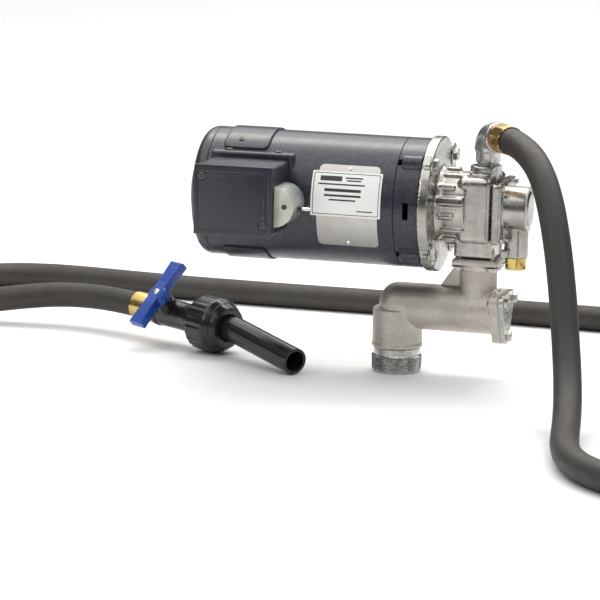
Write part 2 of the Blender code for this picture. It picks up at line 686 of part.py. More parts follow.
def bypass_valve():
    """A sprung poppet in the cover's vertical bore, held in by a brass cap."""
    centre = (BYPASS_X, SHAFT_Y)
    cap = [
        (0, 0.0215), (0.0050, 0.0215), (0.0050, 0.0190), (0.0091, 0.0190), (0.0091, 0.0147), (0.0125, 0.0147),
        (0.0125, 0.0010), (0.0115, 0), (0, 0),
    ]
    turned("bypass_cap", cap, BRASS, closed=False, sides=32, at=(*centre, 0.1350))
    poppet = [(0, 0.0110), (0.0060, 0.0110), (0.0088, 0.0085), (0.0088, 0), (0, 0)]
    turned("bypass_poppet", poppet, STEEL, closed=False, at=(*centre, 0.1760))
    low, high = 0.1552, 0.1752
    turns, steps = 4, 10
    coil = []
    for i in range(turns * steps + 1):
        a = 2 * math.pi * i / steps
        coil.append((0.0070 * math.cos(a), 0.0070 * math.sin(a), (high - low) * i / (turns * steps)))
    tube("bypass_spring", coil, 0.0005, STEEL, resolution=2, at=(*centre, low))


# The suction side


def suction_housing():
    housing = cylinder("suction_housing", PIPE_R, 0.1230, CAST, at=(0, 0, BASE_Z), axis=X_AXIS, sides=32)
    end = turned(
        "pipe_end", [(0, PIPE_R)] + [(x, z) for x, z in arc((0, 0), PIPE_R, 75, -75, 10)] + [(0, -PIPE_R)],
        closed=False, sides=32, at=(0.002, 0, BASE_Z), axis=X_AXIS,
    )
    collar = cylinder("bung_collar", 0.0295, BASE_Z - 0.0300, at=(0, 0, 0.0300), sides=32)
    riser = cylinder("riser", RISER_R, 0.0600, at=(RISER_X, 0, BASE_Z), sides=32)
    plate = box("riser_plate", (0.0700, -0.0285, 0.1360), (0.1245, 0.0285, HOUSING_TOP_Z), edge=0.0030)
    flange_loop = []
    for degrees in LUG_ANGLES:
        a = math.radians(degrees)
        at = (LUG_CIRCLE_R * math.cos(a), LUG_CIRCLE_R * math.sin(a))
        flange_loop += arc(at, 0.0095, degrees - 60, degrees + 60, 6)
    flange_x = (0.1170, COVER_PLATE_X - GAP)
    # In the flange's own plane, local X is down and local Y is world Y
    flange = outline(
        "cover_flange", [flange_loop], flange_x[1] - flange_x[0],
        at=((flange_x[0] + flange_x[1]) / 2, 0, BASE_Z), axis=X_AXIS,
    )
    gusset = outline("gusset", [[(0.040, 0.0), (0.082, 0.0), (0.082, 0.050), (0.074, 0.050)]], 0.006)
    gusset.rotation_euler = (math.radians(90), 0, 0)
    gusset.location = (0, 0, BASE_Z + 0.0100)
    join(housing, end, collar, riser, plate, flange, gusset)
    pipe_bore = cylinder("pipe_bore", PIPE_BORE_R, 0.135, at=(0, 0, BASE_Z), axis=X_AXIS, sides=32)
    bung_bore = cylinder("bung_bore", 0.0206, 0.0600, at=(0, 0, 0.0200), sides=32)
    riser_bore = cylinder("riser_bore", 0.0140, 0.0700, at=(RISER_X, 0, BASE_Z), sides=32)
    cut(housing, pipe_bore, bung_bore, riser_bore)
    for i, (x, y) in enumerate(FOOT_BOLTS):
        cut(housing, cylinder("plate_hole_%d" % (i + 1), 0.0034, 0.0150, at=(x, y, 0.1330), sides=12))
        hex_bolt("suction_bolt_%d" % (i + 1), (x, y, 0.1357), Z_AXIS, 0.0100, 0.0055, 0.0029, 0.0200)

    plate = outline(
        "strainer_cover", [flange_loop], 0.0060, ZINC, at=(COVER_PLATE_X + 0.0030, 0, BASE_Z), axis=X_AXIS
    )
    round_edges(plate, 0.0008, 1)
    for i, degrees in enumerate(LUG_ANGLES):
        a = math.radians(degrees)
        quarter = Vector(X_AXIS).to_track_quat("Z", "Y")
        at = quarter @ Vector((LUG_CIRCLE_R * math.cos(a), LUG_CIRCLE_R * math.sin(a), 0))
        for owner, hole_r, from_x, length in ((housing, 0.0036, 0.1185, 0.02), (plate, 0.0036, 0.1270, 0.02)):
            hole = cylinder(
                "lug_hole_%d_%s" % (i + 1, owner.name), hole_r, length, at=(from_x, at.y, BASE_Z + at.z),
                axis=X_AXIS, sides=12,
            )
            cut(owner, hole)
        head_x = COVER_PLATE_X + 0.0060 + GAP
        hex_bolt(
            "strainer_bolt_%d" % (i + 1), (head_x, at.y, BASE_Z + at.z), -X_AXIS,
            0.0111, 0.0050, 0.0031, 0.0140,
        )
    ring("strainer_screen", 0.0190, 0.0202, 0.1000, STEEL, at=(0.0250, 0, BASE_Z), axis=X_AXIS, sides=32)


def bung_adapter():
    profile = [
        (0.0202, 0.0450), (0.0202, 0.0297), (0.0270, 0.0297), (0.0278, 0.0285), (0.0278, 0.0210),
        (0.0290, 0.0200), (NPT_2_R, 0.0190), (NPT_2_R - 0.0006, 0.0010), (NPT_2_R - 0.0016, 0),
        (0.0170, 0), (0.0170, 0.0450),
    ]
    turned("bung_adapter", profile, ZINC, sides=32)


# The discharge side


def discharge_elbow():
    """A street elbow that stands in the discharge boss and turns towards the front."""
    heading = Vector((math.cos(ELBOW_TURN), math.sin(ELBOW_TURN), 0))
    foot = Vector((PORT_X, 0, 0))
    bend_r = 0.0160
    path = []
    scale = []
    outer = 0.0165
    for z, r in (
        (0.2446, 0.0128), (0.2580, 0.0132), (0.2581, 0.0145), (0.2700, 0.0145), (0.2715, 0.0155),
    ):
        path.append(foot + Vector((0, 0, z)))
        scale.append(r / outer)
    centre_z = ELBOW_Z - bend_r
    for i in range(7):
        a = math.radians(15 * i)
        path.append(
            foot + heading * bend_r * (1 - math.cos(a)) + Vector((0, 0, centre_z + bend_r * math.sin(a))),
        )
        scale.append(1.0)
    for reach, r in ((0.0200, 0.0165), (0.0205, 0.0182), (0.0275, 0.0182), (0.0290, 0.0172)):
        path.append(foot + heading * reach + Vector((0, 0, ELBOW_Z)))
        scale.append(r / outer)
    elbow = as_mesh(tube("discharge_elbow", path, outer, ZINC, scale, resolution=4), "discharge_elbow", ZINC)
    bore_path = [foot + Vector((0, 0, 0.2400))] + path[5:-4]
    bore_path.append(foot + heading * 0.0400 + Vector((0, 0, ELBOW_Z)))
    bore = as_mesh(tube("elbow_bore", bore_path, 0.0108, resolution=3), "elbow_bore", None)
    cut(elbow, bore)

    fitting = [
        (0.0172, 0.0580), (0.0172, 0.0340), (0.0155, 0.0335), (0.0155, 0.0293), (0.0098, 0.0293),
        (0.0098, 0.0200),
        (0.0080, 0.0200), (0.0080, 0.0440), (HOSE_R + 0.0004, 0.0440), (HOSE_R + 0.0004, 0.0580),
    ]
    turned("hose_fitting_pump", fitting, BRASS, at=(PORT_X, 0, ELBOW_Z), axis=heading)


def smooth_route(points, steps):
    """A centripetal Catmull-Rom curve through points."""
    points = [Vector(p) for p in points]
    ends = [2 * points[0] - points[1]] + points + [2 * points[-1] - points[-2]]
    found = []
    for i in range(1, len(ends) - 2):
        four = ends[i - 1:i + 3]
        knots = [0.0]
        for a, b in zip(four, four[1:]):
            knots.append(knots[-1] + math.sqrt((b - a).length))
        for step in range(steps):
            t = knots[1] + (knots[2] - knots[1]) * step / steps
            level = four
            for span in (1, 2, 3):
                level = [
                    blend_between(level[j], level[j + 1], knots, j, span, t)
                    for j in range(len(level) - 1)
                ]
            found.append(level[0])
    found.append(points[-1])
    return found


def blend_between(a, b, knots, j, span, t):
    """One step of the Catmull-Rom pyramid: the first and last use their own knots, the middle uses two."""
    if span == 1:
        low, high = knots[j], knots[j + 1]
    elif span == 2:
        low, high = knots[j], knots[j + 2]
    else:
        low, high = knots[1], knots[2]
    return a.lerp(b, (t - low) / (high - low))


def evenly(points, spacing):
    """Points at an even spacing along a polyline, both ends kept."""
    lengths = [0.0]
    for a, b in zip(points, points[1:]):
        lengths.append(lengths[-1] + (b - a).length)
    count = round(lengths[-1] / spacing)
    found = []
    j = 0
    for i in range(count + 1):
        at = lengths[-1] * i / count
        while j < len(points) - 2 and lengths[j + 1] < at:
            j += 1
        share = (at - lengths[j]) / (lengths[j + 1] - lengths[j])
        found.append(points[j].lerp(points[j + 1], min(max(share, 0.0), 1.0)))
    return found


def hose():
    steps = 16
    curve = smooth_route(ROUTE, steps)
    path = [curve[0]] + evenly(curve[steps:-steps], ROUTE_SPACING) + [curve[-1]]
    for point in path:
        point.z = max(point.z, HOSE_R + GAP)
    tube("hose", path, HOSE_R, RUBBER, resolution=2)


# The nozzle


def nozzle_frame():
    """An empty at the nozzle's rear end: local X runs along the flow and local Z along the valve's stem."""
    flow = (NUT_CENTRE - NOZZLE_REAR).normalized()
    side = Vector((flow.y, -flow.x, 0)).normalized()
    if side.y > 0:
        side.negate()
    up = side.cross(flow)
    if up.z < 0:
        up.negate()
    stem = (math.cos(STEM_TILT) * up + math.sin(STEM_TILT) * side).normalized()
    across = stem.cross(flow)
    frame = bpy.data.objects.new("nozzle_frame", None)
    PARTS.objects.link(frame)
    frame.matrix_world = Matrix.LocRotScale(
        NOZZLE_REAR, Matrix((flow, across, stem)).transposed().to_quaternion(), Vector((1, 1, 1))
    )
    bpy.context.view_layer.update()
    return frame


def nozzle():
    frame = nozzle_frame()
    fitting = [
        (0.0130, 0.0440), (0.0130, 0.0385), (0.0172, 0.0380), (0.0172, 0.0000), (HOSE_R + 0.0004, 0.0000),
        (HOSE_R + 0.0004, 0.0150), (0.0085, 0.0150), (0.0085, 0.0440),
    ]
    turned("hose_fitting_nozzle", fitting, BRASS, axis=X_AXIS, parent=frame)

    valve = turned("nozzle_valve_body", [
        (0.0195, 0.1160), (0.0195, 0.1000), (0.0175, 0.0900), (0.0175, 0.0400), (0.0134, 0.0400),
        (0.0134, 0.0480),
        (0.0095, 0.0480), (0.0095, 0.1100), (0.0135, 0.1160),
    ], BLACK, axis=X_AXIS, parent=frame)
    bonnet = cylinder("bonnet", 0.0120, 0.0180, at=(VALVE_AT, 0, 0.0120), sides=24, parent=frame)
    chamber = turned(
        "ball_chamber", [(0, 0.0137)] + arc((0, 0), 0.0137, 60, -60, 4) + [(0, -0.0137)],
        closed=False, sides=24,
        at=(VALVE_AT, 0, 0), parent=frame,
    )
    stem_bore = cylinder("stem_bore", 0.0044, 0.0300, at=(VALVE_AT, 0, 0.0050), sides=20, parent=frame)
    join(valve, bonnet)
    cut(valve, chamber, stem_bore)

    ball = turned(
        "valve_ball", [(0, 0.0130)] + arc((0, 0), 0.0130, 72, -72, 6) + [(0, -0.0130)], STEEL, closed=False,
        sides=24, at=(VALVE_AT, 0, 0), parent=frame,
    )
    way = cylinder("ball_way", 0.0080, 0.0400, at=(VALVE_AT, -0.0200, 0), axis=Y_AXIS, sides=24, parent=frame)
    cut(ball, way)

    wide, narrow, hub = 0.0110, 0.0080, 0.0125
    wing = [
        (-narrow, 0.012), (-wide, HANDLE_HALF), (wide, HANDLE_HALF), (narrow, 0.012),
        (narrow, -0.012), (wide, -HANDLE_HALF), (-wide, -HANDLE_HALF), (-narrow, -0.012),
    ]
    handle = outline("valve_handle", [wing], 0.0120, BLUE, at=(VALVE_AT, 0, 0.0390), parent=frame)
    round_edges(handle, 0.0020, 2)
    knob = cylinder("handle_hub", hub, 0.0140, at=(VALVE_AT, 0, 0.0305), sides=28, parent=frame)
    stem = cylinder("handle_stem", 0.0040, 0.0180, at=(VALVE_AT, 0, 0.0136), sides=20, parent=frame)
    join(handle, knob, stem)

    turned("union_nut", [
        (0.0175, 0.0300), (0.0175, 0.0220), (0.0298, 0.0220), (0.0298, -0.0120), (0.0200, -0.0145),
        (0.0200, -0.0170),
        (0.0300, -0.0170), (0.0340, -0.0130), (0.0340, 0.0130), (0.0290, 0.0220), (0.0250, 0.0300),
    ][::-1], BLACK, sides=32, at=((NUT_CENTRE - NOZZLE_REAR).length, 0, 0), axis=X_AXIS, parent=frame)

    # The spout's flange sits in the nut, and the tube bends a little towards the ground outside it
    to_local = frame.matrix_world.inverted()
    tip = to_local @ SPOUT_TIP
    middle = Vector(((NUT_CENTRE - NOZZLE_REAR).length, 0, 0))
    bend = middle + Vector((0.040, 0, 0))
    onward = (tip - bend).normalized()
    path = [middle + Vector((x, 0, 0)) for x in (-0.0110, -0.0050, -0.0045, 0.0240)]
    path.append(bend - Vector((0.008, 0, 0)))
    path.append(bend.lerp(bend + (onward + Vector((-1, 0, 0))) * 0.002, 0.5))
    path.append(bend + onward * 0.008)
    path += [bend + onward * 0.06, tip]
    scale = [1.70, 1.70, 1.0, 1.0, 1.0, 1.0, 1.0, 1.0, 1.0]
    outer = 0.0160
    spout = as_mesh(tube("spout", path, outer, BLACK, scale, resolution=10, parent=frame), "spout", BLACK)
    bore_path = [middle + Vector((-0.030, 0, 0))] + path[4:-1] + [tip + onward * 0.02]
    bore = as_mesh(tube("spout_bore", bore_path, 0.0125, resolution=8, parent=frame), "spout_bore", None)
    cut(spout, bore)


motor_casings()
motor_inside()
rotor()
conduit_box()
switch()
motor_trim()
gear("drive_gear", SHAFT_Y, 90, PUMP_SHAFT_R + GAP)
gear("idler_gear", IDLER_Y, 90 + 180 / GEAR_TEETH, PIN_R + 0.0004)
pump_body()
pump_cover()
bypass_valve()
suction_housing()
bung_adapter()
discharge_elbow()
hose()
nozzle()
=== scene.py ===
"""The looks of the gear oil pump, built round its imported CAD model."""

from math import cos, pi, radians, sin, sqrt
from math import degrees as to_degrees

import bmesh
import bpy
from mathutils import Matrix, Vector


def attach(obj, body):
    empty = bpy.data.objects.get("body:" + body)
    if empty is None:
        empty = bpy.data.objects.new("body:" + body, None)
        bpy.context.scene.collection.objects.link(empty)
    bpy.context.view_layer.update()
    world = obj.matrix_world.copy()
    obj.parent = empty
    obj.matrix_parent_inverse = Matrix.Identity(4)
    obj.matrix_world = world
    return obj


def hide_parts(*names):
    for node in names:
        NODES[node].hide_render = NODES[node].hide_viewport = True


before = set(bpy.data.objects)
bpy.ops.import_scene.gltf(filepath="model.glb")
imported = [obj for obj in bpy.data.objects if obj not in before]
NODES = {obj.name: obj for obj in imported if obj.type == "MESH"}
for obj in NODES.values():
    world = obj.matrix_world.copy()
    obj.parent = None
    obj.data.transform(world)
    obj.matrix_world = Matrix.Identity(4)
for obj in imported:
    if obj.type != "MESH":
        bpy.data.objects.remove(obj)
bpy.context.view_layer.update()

# The camera: a long lens, a little above and to the right of the motor's side. HALF_VIEW is half the width
# of the view at the target, in metres.
CAM_AZ = radians(15.5)
CAM_EL = radians(10.5)
CAM_D = 3.65
SENSOR = 36
HALF_VIEW = 0.36
RIGHT = Vector((cos(CAM_AZ), sin(CAM_AZ), 0))
UP = Vector((-sin(CAM_AZ) * sin(CAM_EL), cos(CAM_AZ) * sin(CAM_EL), cos(CAM_EL)))
BACK = RIGHT.cross(UP)
TARGET = RIGHT * -0.1173 + UP * 0.08124
ROLL = radians(1.3)

# Where the CAD model has its axes and faces, in metres
SHAFT = Vector((0, -0.015, 0.207))
SHELL_R = 0.0767
SHELL_INNER_R = 0.0717
REAR_X = -0.243
CAP_R = 0.0455
CAP_T = 0.0075
TOGGLE = Vector((-0.092, -0.118, 0.2065))
SHELL_X = (-0.218, 0.012)
FACE_X = 0.0415
FLANGE_X = (0.0418, 0.0536)
FACE_BOLT_R = 0.0746
FACE_BOLTS = (45, 135, 225, 315)
BOX_X = (-0.208, -0.116)
BOX_Y = (-0.1527, -0.07)
BOX_Z = (0.1765, 0.2568)
BLOCK_X = (0.078, 0.118)
COVER_X = (0.1183, 0.1303)
PORT_X = 0.104
IDLER_Y = 0.03
BYPASS = Vector((0.144, -0.015, 0))
BASE_Z = 0.08
PIPE_R = 0.0275
FOOT_Z = 0.145
FOOT_BOLTS = ((0.0775, -0.0205), (0.117, -0.0205), (0.0775, 0.0205), (0.117, 0.0205))
LUGS = (0, 120, 240)
LUG_R = 0.029
RISER_X = 0.09725
ELBOW_Z = 0.29
ELBOW_TURN = radians(-52)
HEADING = Vector((cos(ELBOW_TURN), sin(ELBOW_TURN), 0))
STRAINER_X = 0.1342
NOZZLE_REAR = Vector((-0.355, 0.082, 0.04))
NUT_CENTRE = Vector((-0.2385, 0.02, 0.0352))
FLOW = (NUT_CENTRE - NOZZLE_REAR).normalized()
STEM_TILT = radians(45)
VALVE_AT = 0.064
HOSE_R = 0.016
ROUTE = (
    (0.1314, -0.0351, 0.2900), (0.1502, -0.0591, 0.2900), (0.1785, -0.0965, 0.2795),
    (0.2020, -0.1335, 0.2495), (0.2190, -0.1620, 0.2030), (0.2310, -0.1800, 0.1500),
    (0.2410, -0.2020, 0.0970), (0.2530, -0.2400, 0.0510), (0.2640, -0.2970, 0.0225),
    (0.2730, -0.3620, 0.0163), (0.2900, -0.4440, 0.0163), (0.3300, -0.5090, 0.0163),
    (0.3950, -0.5465, 0.0163), (0.4680, -0.5445, 0.0163), (0.5295, -0.5030, 0.0163),
    (0.5630, -0.4340, 0.0163), (0.5605, -0.3460, 0.0163), (0.5330, -0.2150, 0.0163),
    (0.5030, -0.0700, 0.0163), (0.4720, 0.0750, 0.0163), (0.4400, 0.2000, 0.0163),
    (0.3960, 0.2720, 0.0163), (0.3300, 0.3160, 0.0163), (0.2500, 0.3330, 0.0163),
    (0.1100, 0.3400, 0.0163), (-0.0700, 0.3430, 0.0163), (-0.2500, 0.3400, 0.0163),
    (-0.4200, 0.3450, 0.0163), (-0.5450, 0.3670, 0.0163), (-0.6220, 0.3550, 0.0163),
    (-0.6830, 0.3050, 0.0163), (-0.7070, 0.2350, 0.0163), (-0.6950, 0.1630, 0.0163),
    (-0.6450, 0.1080, 0.0190), (-0.5750, 0.0890, 0.0260), (-0.5100, 0.1015, 0.0370),
    (-0.4480, 0.1155, 0.0420), (-0.3868, 0.0989, 0.0413), (-0.3422, 0.0752, 0.0395),
)

X_AXIS = Vector((1, 0, 0))
Y_AXIS = Vector((0, 1, 0))
Z_AXIS = Vector((0, 0, 1))


def linked(name, data):
    """A new object in the scene."""
    obj = bpy.data.objects.new(name, data)
    bpy.context.scene.collection.objects.link(obj)
    return obj


def camera():
    data = bpy.data.cameras.new("camera")
    data.sensor_width = SENSOR
    data.lens = SENSOR / 2 * CAM_D / HALF_VIEW
    data.clip_end = 50
    cam = linked("camera", data)
    turn = Matrix.Rotation(ROLL, 3, BACK)
    axes = Matrix((turn @ RIGHT, turn @ UP, BACK)).transposed()
    cam.matrix_world = Matrix.LocRotScale(TARGET + BACK * CAM_D, axes.to_quaternion(), None)
    bpy.context.scene.camera = cam


def area_light(name, at, towards, size, power, colour=(1, 1, 1)):
    data = bpy.data.lights.new(name, "AREA")
    data.shape = "RECTANGLE"
    data.size, data.size_y = size
    data.energy = power
    data.color = colour
    obj = linked(name, data)
    obj.location = at
    obj.rotation_euler = (Vector(towards) - Vector(at)).to_track_quat("-Z", "Y").to_euler()


def studio():
    """A pale floor under a wide soft light, with a softer sky that darkens towards the horizon."""
    world = bpy.data.worlds.new("sky")
    bpy.context.scene.world = world
    world.use_nodes = True
    tree = world.node_tree
    tree.nodes.clear()
    out = tree.nodes.new("ShaderNodeOutputWorld")
    back = tree.nodes.new("ShaderNodeBackground")
    coords = tree.nodes.new("ShaderNodeTexCoord")
    split = tree.nodes.new("ShaderNodeSeparateXYZ")
    ramp = tree.nodes.new("ShaderNodeValToRGB")
    ramp.color_ramp.elements[0].color = (0.1, 0.1, 0.105, 1)
    ramp.color_ramp.elements[0].position = 0.0
    ramp.color_ramp.elements[1].color = (0.8, 0.8, 0.8, 1)
    ramp.color_ramp.elements[1].position = 0.75
    tree.links.new(coords.outputs["Generated"], split.inputs[0])
    tree.links.new(split.outputs["Z"], ramp.inputs[0])
    tree.links.new(ramp.outputs[0], back.inputs[0])
    back.inputs[1].default_value = 0.34
    tree.links.new(back.outputs[0], out.inputs[0])

    mesh = bpy.data.meshes.new("floor")
    mesh.from_pydata([(-14, -8, 0), (14, -8, 0), (14, 22, 0), (-14, 22, 0)], [], [(0, 1, 2, 3)])
    floor = linked("floor", mesh)
    floor.data.materials.append(material("pale_floor", (0.86, 0.86, 0.86), rough=0.75, shade=0.01))
    area_light("overhead", (0, 2.5, 4.2), (0, 2.5, 0), (9, 12), 560)
    area_light("key", (-1.6, -2.2, 1.7), (-0.05, 0, 0.15), (1.2, 1.0), 15, (1.0, 0.985, 0.96))
    area_light("glare", (-0.1, 0.55, 1.25), (-0.1, -0.02, 0.24), (1.3, 0.35), 9, (1.0, 0.95, 0.9))
    area_light("fill", (2.3, -1.6, 1.0), (0.05, 0, 0.15), (0.7, 1.4), 9, (0.97, 0.985, 1.0))


# Materials

# Which part of a noise's or an edge's range is spread over a mix, and how fine the patches are
NOISE_RANGE = (0.3, 0.7)
CLOUD_RANGE = (0.42, 0.62)
EDGE_RANGE = (0.53, 0.6)
WEAR_RANGE = (0.45, 0.62)
WEAR_SCALE = 220
SPANGLE_SCALE = 260
COAT_ROUGHNESS = 0.12


def material(name, colour, metallic=0.0, rough=0.4, spread=0.0, shade=0.1, shade_scale=45.0, tint=None,
             tint_scale=9.0, bumps=(), coat=0.0, wear=None, wear_share=0.5, streak=None, spangle=0.0):
    """A procedural surface. shade darkens and lightens in patches, spread varies the roughness, tint mixes in
    a second colour in clouds and spangle a darker flake, bumps are (noise scale, height in metres), streak is
    (scales along X, Y and Z, height), and wear is the colour that bare edges take."""
    made = bpy.data.materials.new(name)
    made.use_nodes = True
    tree = made.node_tree
    nodes, links = tree.nodes, tree.links
    nodes.clear()
    out = nodes.new("ShaderNodeOutputMaterial")
    shader = nodes.new("ShaderNodeBsdfPrincipled")
    links.new(shader.outputs[0], out.inputs[0])
    coords = nodes.new("ShaderNodeTexCoord").outputs["Object"]

    def noise(scale, detail=3.0, vector=coords):
        made_noise = nodes.new("ShaderNodeTexNoise")
        made_noise.inputs["Scale"].default_value = scale
        made_noise.inputs["Detail"].default_value = detail
        links.new(vector, made_noise.inputs["Vector"])
        return made_noise.outputs["Fac"]

    def spread_out(value, low, high, to_low, to_high):
        range_node = nodes.new("ShaderNodeMapRange")
        for i, number in enumerate((low, high, to_low, to_high)):
            range_node.inputs[i + 1].default_value = number
        links.new(value, range_node.inputs[0])
        return range_node.outputs[0]

    def mixed(share, a, b):
        mix = nodes.new("ShaderNodeMix")
        mix.data_type = "RGBA"
        links.new(share, mix.inputs[0])
        for socket, value in ((mix.inputs[6], a), (mix.inputs[7], b)):
            if isinstance(value, bpy.types.NodeSocket):
                links.new(value, socket)
            else:
                socket.default_value = (*value, 1)
        return mix.outputs[2]

    dark = [max(0.0, c * (1 - shade)) for c in colour]
    light = [min(1.0, c * (1 + shade)) for c in colour]
    now = mixed(spread_out(noise(shade_scale, 5.0), *NOISE_RANGE, 0, 1), dark, light)
    if tint:
        now = mixed(spread_out(noise(tint_scale), *CLOUD_RANGE, 0, 1), now, tint)
    if spangle:
        cells = nodes.new("ShaderNodeTexVoronoi")
        cells.inputs["Scale"].default_value = SPANGLE_SCALE
        links.new(coords, cells.inputs["Vector"])
        flake = spread_out(cells.outputs["Color"], 0, 1, 0, spangle)
        now = mixed(flake, now, [c * 0.55 for c in colour])
    if wear:
        point = nodes.new("ShaderNodeNewGeometry").outputs["Pointiness"]
        edge = spread_out(point, *EDGE_RANGE, 0, 1)
        patch = spread_out(noise(WEAR_SCALE, 4.0), *WEAR_RANGE, 0, wear_share)
        both = nodes.new("ShaderNodeMath")
        both.operation = "MULTIPLY"
        links.new(edge, both.inputs[0])
        links.new(patch, both.inputs[1])
        now = mixed(both.outputs[0], now, wear)
    links.new(now, shader.inputs["Base Color"])
    shader.inputs["Metallic"].default_value = metallic
    if coat:
        shader.inputs["Coat Weight"].default_value = coat
        shader.inputs["Coat Roughness"].default_value = COAT_ROUGHNESS
    if spread:
        uneven = spread_out(noise(shade_scale * 1.7, 5.0), *NOISE_RANGE, rough - spread, rough + spread)
        links.new(uneven, shader.inputs["Roughness"])
    else:
        shader.inputs["Roughness"].default_value = rough
    normal = None
    heights = [(noise(scale, 4.0), height) for scale, height in bumps]
    if streak:
        scales, height = streak
        mapping = nodes.new("ShaderNodeMapping")
        mapping.inputs["Scale"].default_value = scales
        links.new(coords, mapping.inputs["Vector"])
        heights.append((noise(1.0, 2.0, mapping.outputs[0]), height))
    for value, height in heights:
        bump = nodes.new("ShaderNodeBump")
        bump.inputs["Strength"].default_value = 1.0
        bump.inputs["Distance"].default_value = height
        links.new(value, bump.inputs["Height"])
        if normal:
            links.new(normal, bump.inputs["Normal"])
        normal = bump.outputs[0]
    if normal:
        links.new(normal, shader.inputs["Normal"])
    return made


PAINT = material("navy_paint", (0.0165, 0.018, 0.03), rough=0.34, spread=0.05, shade=0.07,
                 tint=(0.0215, 0.0215, 0.031), bumps=((900, 0.00006), (120, 0.0001)),
                 wear=(0.12, 0.12, 0.13), wear_share=0.3, coat=0.12)
DIECAST = material("die_cast", (0.43, 0.415, 0.39), metallic=1.0, rough=0.27, spread=0.07,
                   shade_scale=70, tint=(0.35, 0.335, 0.31), tint_scale=30,
                   bumps=((260, 0.00007), (1100, 0.00003)))
SANDCAST = material("sand_cast", (0.56, 0.525, 0.48), metallic=0.8, rough=0.46, spread=0.06,
                    shade_scale=160, tint=(0.49, 0.455, 0.415), tint_scale=24,
                    bumps=((1300, 0.00022), (420, 0.00018)), wear=(0.7, 0.67, 0.63), wear_share=0.6)
GALVANISED = material("galvanised", (0.58, 0.58, 0.56), metallic=0.95, rough=0.3, spread=0.09, shade=0.14,
                      shade_scale=150, spangle=0.45, bumps=((330, 0.0003), (1200, 0.0001)))
ZINC = material("zinc_plate", (0.5, 0.5, 0.47), metallic=1.0, rough=0.28, spread=0.06, shade=0.08,
                shade_scale=200, tint=(0.42, 0.41, 0.35), tint_scale=60, bumps=((900, 0.00005),))
STEEL = material("bright_steel", (0.6, 0.6, 0.59), metallic=1.0, rough=0.27, spread=0.06, shade=0.06,
                 bumps=((1400, 0.00003),))
DARK_STEEL = material("dark_thread", (0.1, 0.095, 0.09), metallic=0.7, rough=0.45, spread=0.1, shade=0.25,
                      shade_scale=300, bumps=((900, 0.0001),))
MAGNET = material("magnet", (0.1, 0.1, 0.11), metallic=0.3, rough=0.6, spread=0.1, shade=0.2,
                  bumps=((700, 0.0001),))
COPPER = material("copper", (0.62, 0.3, 0.19), metallic=1.0, rough=0.3, spread=0.08, shade=0.15,
                  bumps=((800, 0.00005),))
CARBON = material("carbon", (0.035, 0.035, 0.037), rough=0.65, spread=0.1, shade=0.2,
                  bumps=((1500, 0.00008),))
BRASS = material("brass", (0.62, 0.46, 0.16), metallic=1.0, rough=0.2, spread=0.06, shade_scale=120,
                 tint=(0.52, 0.37, 0.12), tint_scale=50, bumps=((700, 0.00005),))
CREAM = material("cream_plate", (0.62, 0.605, 0.5), rough=0.42, spread=0.06, shade=0.05,
                 tint=(0.46, 0.46, 0.39), tint_scale=40, bumps=((800, 0.00004),), wear=(0.5, 0.5, 0.46),
                 wear_share=0.4)
GUARD_RIM = material("guard_zinc", (0.46, 0.5, 0.47), metallic=0.8, rough=0.36, spread=0.07, shade=0.12,
                     shade_scale=120, bumps=((900, 0.00005),))
SILVER = material("brushed_silver", (0.46, 0.45, 0.425), metallic=1.0, rough=0.33, spread=0.05, shade=0.06,
                  streak=((20, 20, 2600), 0.00003), tint=(0.4, 0.385, 0.36), tint_scale=30)
CHROME = material("lever_chrome", (0.82, 0.81, 0.79), metallic=1.0, rough=0.14, spread=0.04, shade=0.04,
                  bumps=((900, 0.00002),))
LABEL = material("white_label", (0.84, 0.84, 0.82), rough=0.4, spread=0.05, shade=0.02,
                 bumps=((500, 0.00003),))
INK = material("label_ink", (0.03, 0.028, 0.03), rough=0.5, spread=0.05, shade=0.2,
               bumps=((1500, 0.00001),))
RUBBER = material("hose_rubber", (0.03, 0.0255, 0.0225), rough=0.58, spread=0.06, shade_scale=70,
                  tint=(0.037, 0.033, 0.029), tint_scale=12, bumps=((1900, 0.00008), (300, 0.00008)))
SEAL = material("seal_rubber", (0.028, 0.028, 0.028), rough=0.55, spread=0.08, shade=0.15,
                bumps=((1500, 0.00005),))
BLACK = material("black_plastic", (0.013, 0.0125, 0.0125), rough=0.23, spread=0.05, shade=0.15,
                 bumps=((900, 0.00003), (150, 0.00006)), wear=(0.06, 0.06, 0.06), wear_share=0.3)
BLUE = material("blue_plastic", (0.012, 0.062, 0.36), rough=0.3, spread=0.05,
                tint=(0.01, 0.05, 0.3), tint_scale=40, bumps=((1000, 0.00006), (180, 0.00008)),
                wear=(0.12, 0.22, 0.55), wear_share=0.4)
# Painted shadow: a flat dark colour for the shade round the rims of the brush covers
SHADOW = material("painted_edge_shadow", (0.015, 0.015, 0.017), rough=0.7, spread=0.1, shade=0.2,
                  bumps=((900, 0.00005),))


# Solids, made in place in the model's own frame


def placed(x, y, z, at):
    """A matrix whose local axes are x, y and z, moved to a point."""
    return Matrix.Translation(at) @ Matrix((x, y, z)).transposed().to_4x4()


def axes_at(origin, axis=Z_AXIS, up=Z_AXIS):
    """A matrix whose local Z runs along axis and whose local Y is as near to up as it can be."""
    z = Vector(axis).normalized()
    y = Vector(up) - z * z.dot(Vector(up))
    if y.length < 1e-6:
        y = Y_AXIS - z * z.dot(Y_AXIS)
    y.normalize()
    return placed(y.cross(z), y, z, Vector(origin))


def on_shaft(x, y=0.0, z=0.0):
    return SHAFT + Vector((x, y, z))


def round_shaft(x, radius, degrees):
    """A point round the shaft, its angle counted from the top towards the front."""
    a = radians(degrees)
    return SHAFT + Vector((x, -radius * sin(a), radius * cos(a)))


def radial(degrees):
    """The direction out from the shaft at that angle."""
    return round_shaft(0, 1, degrees) - on_shaft(0)


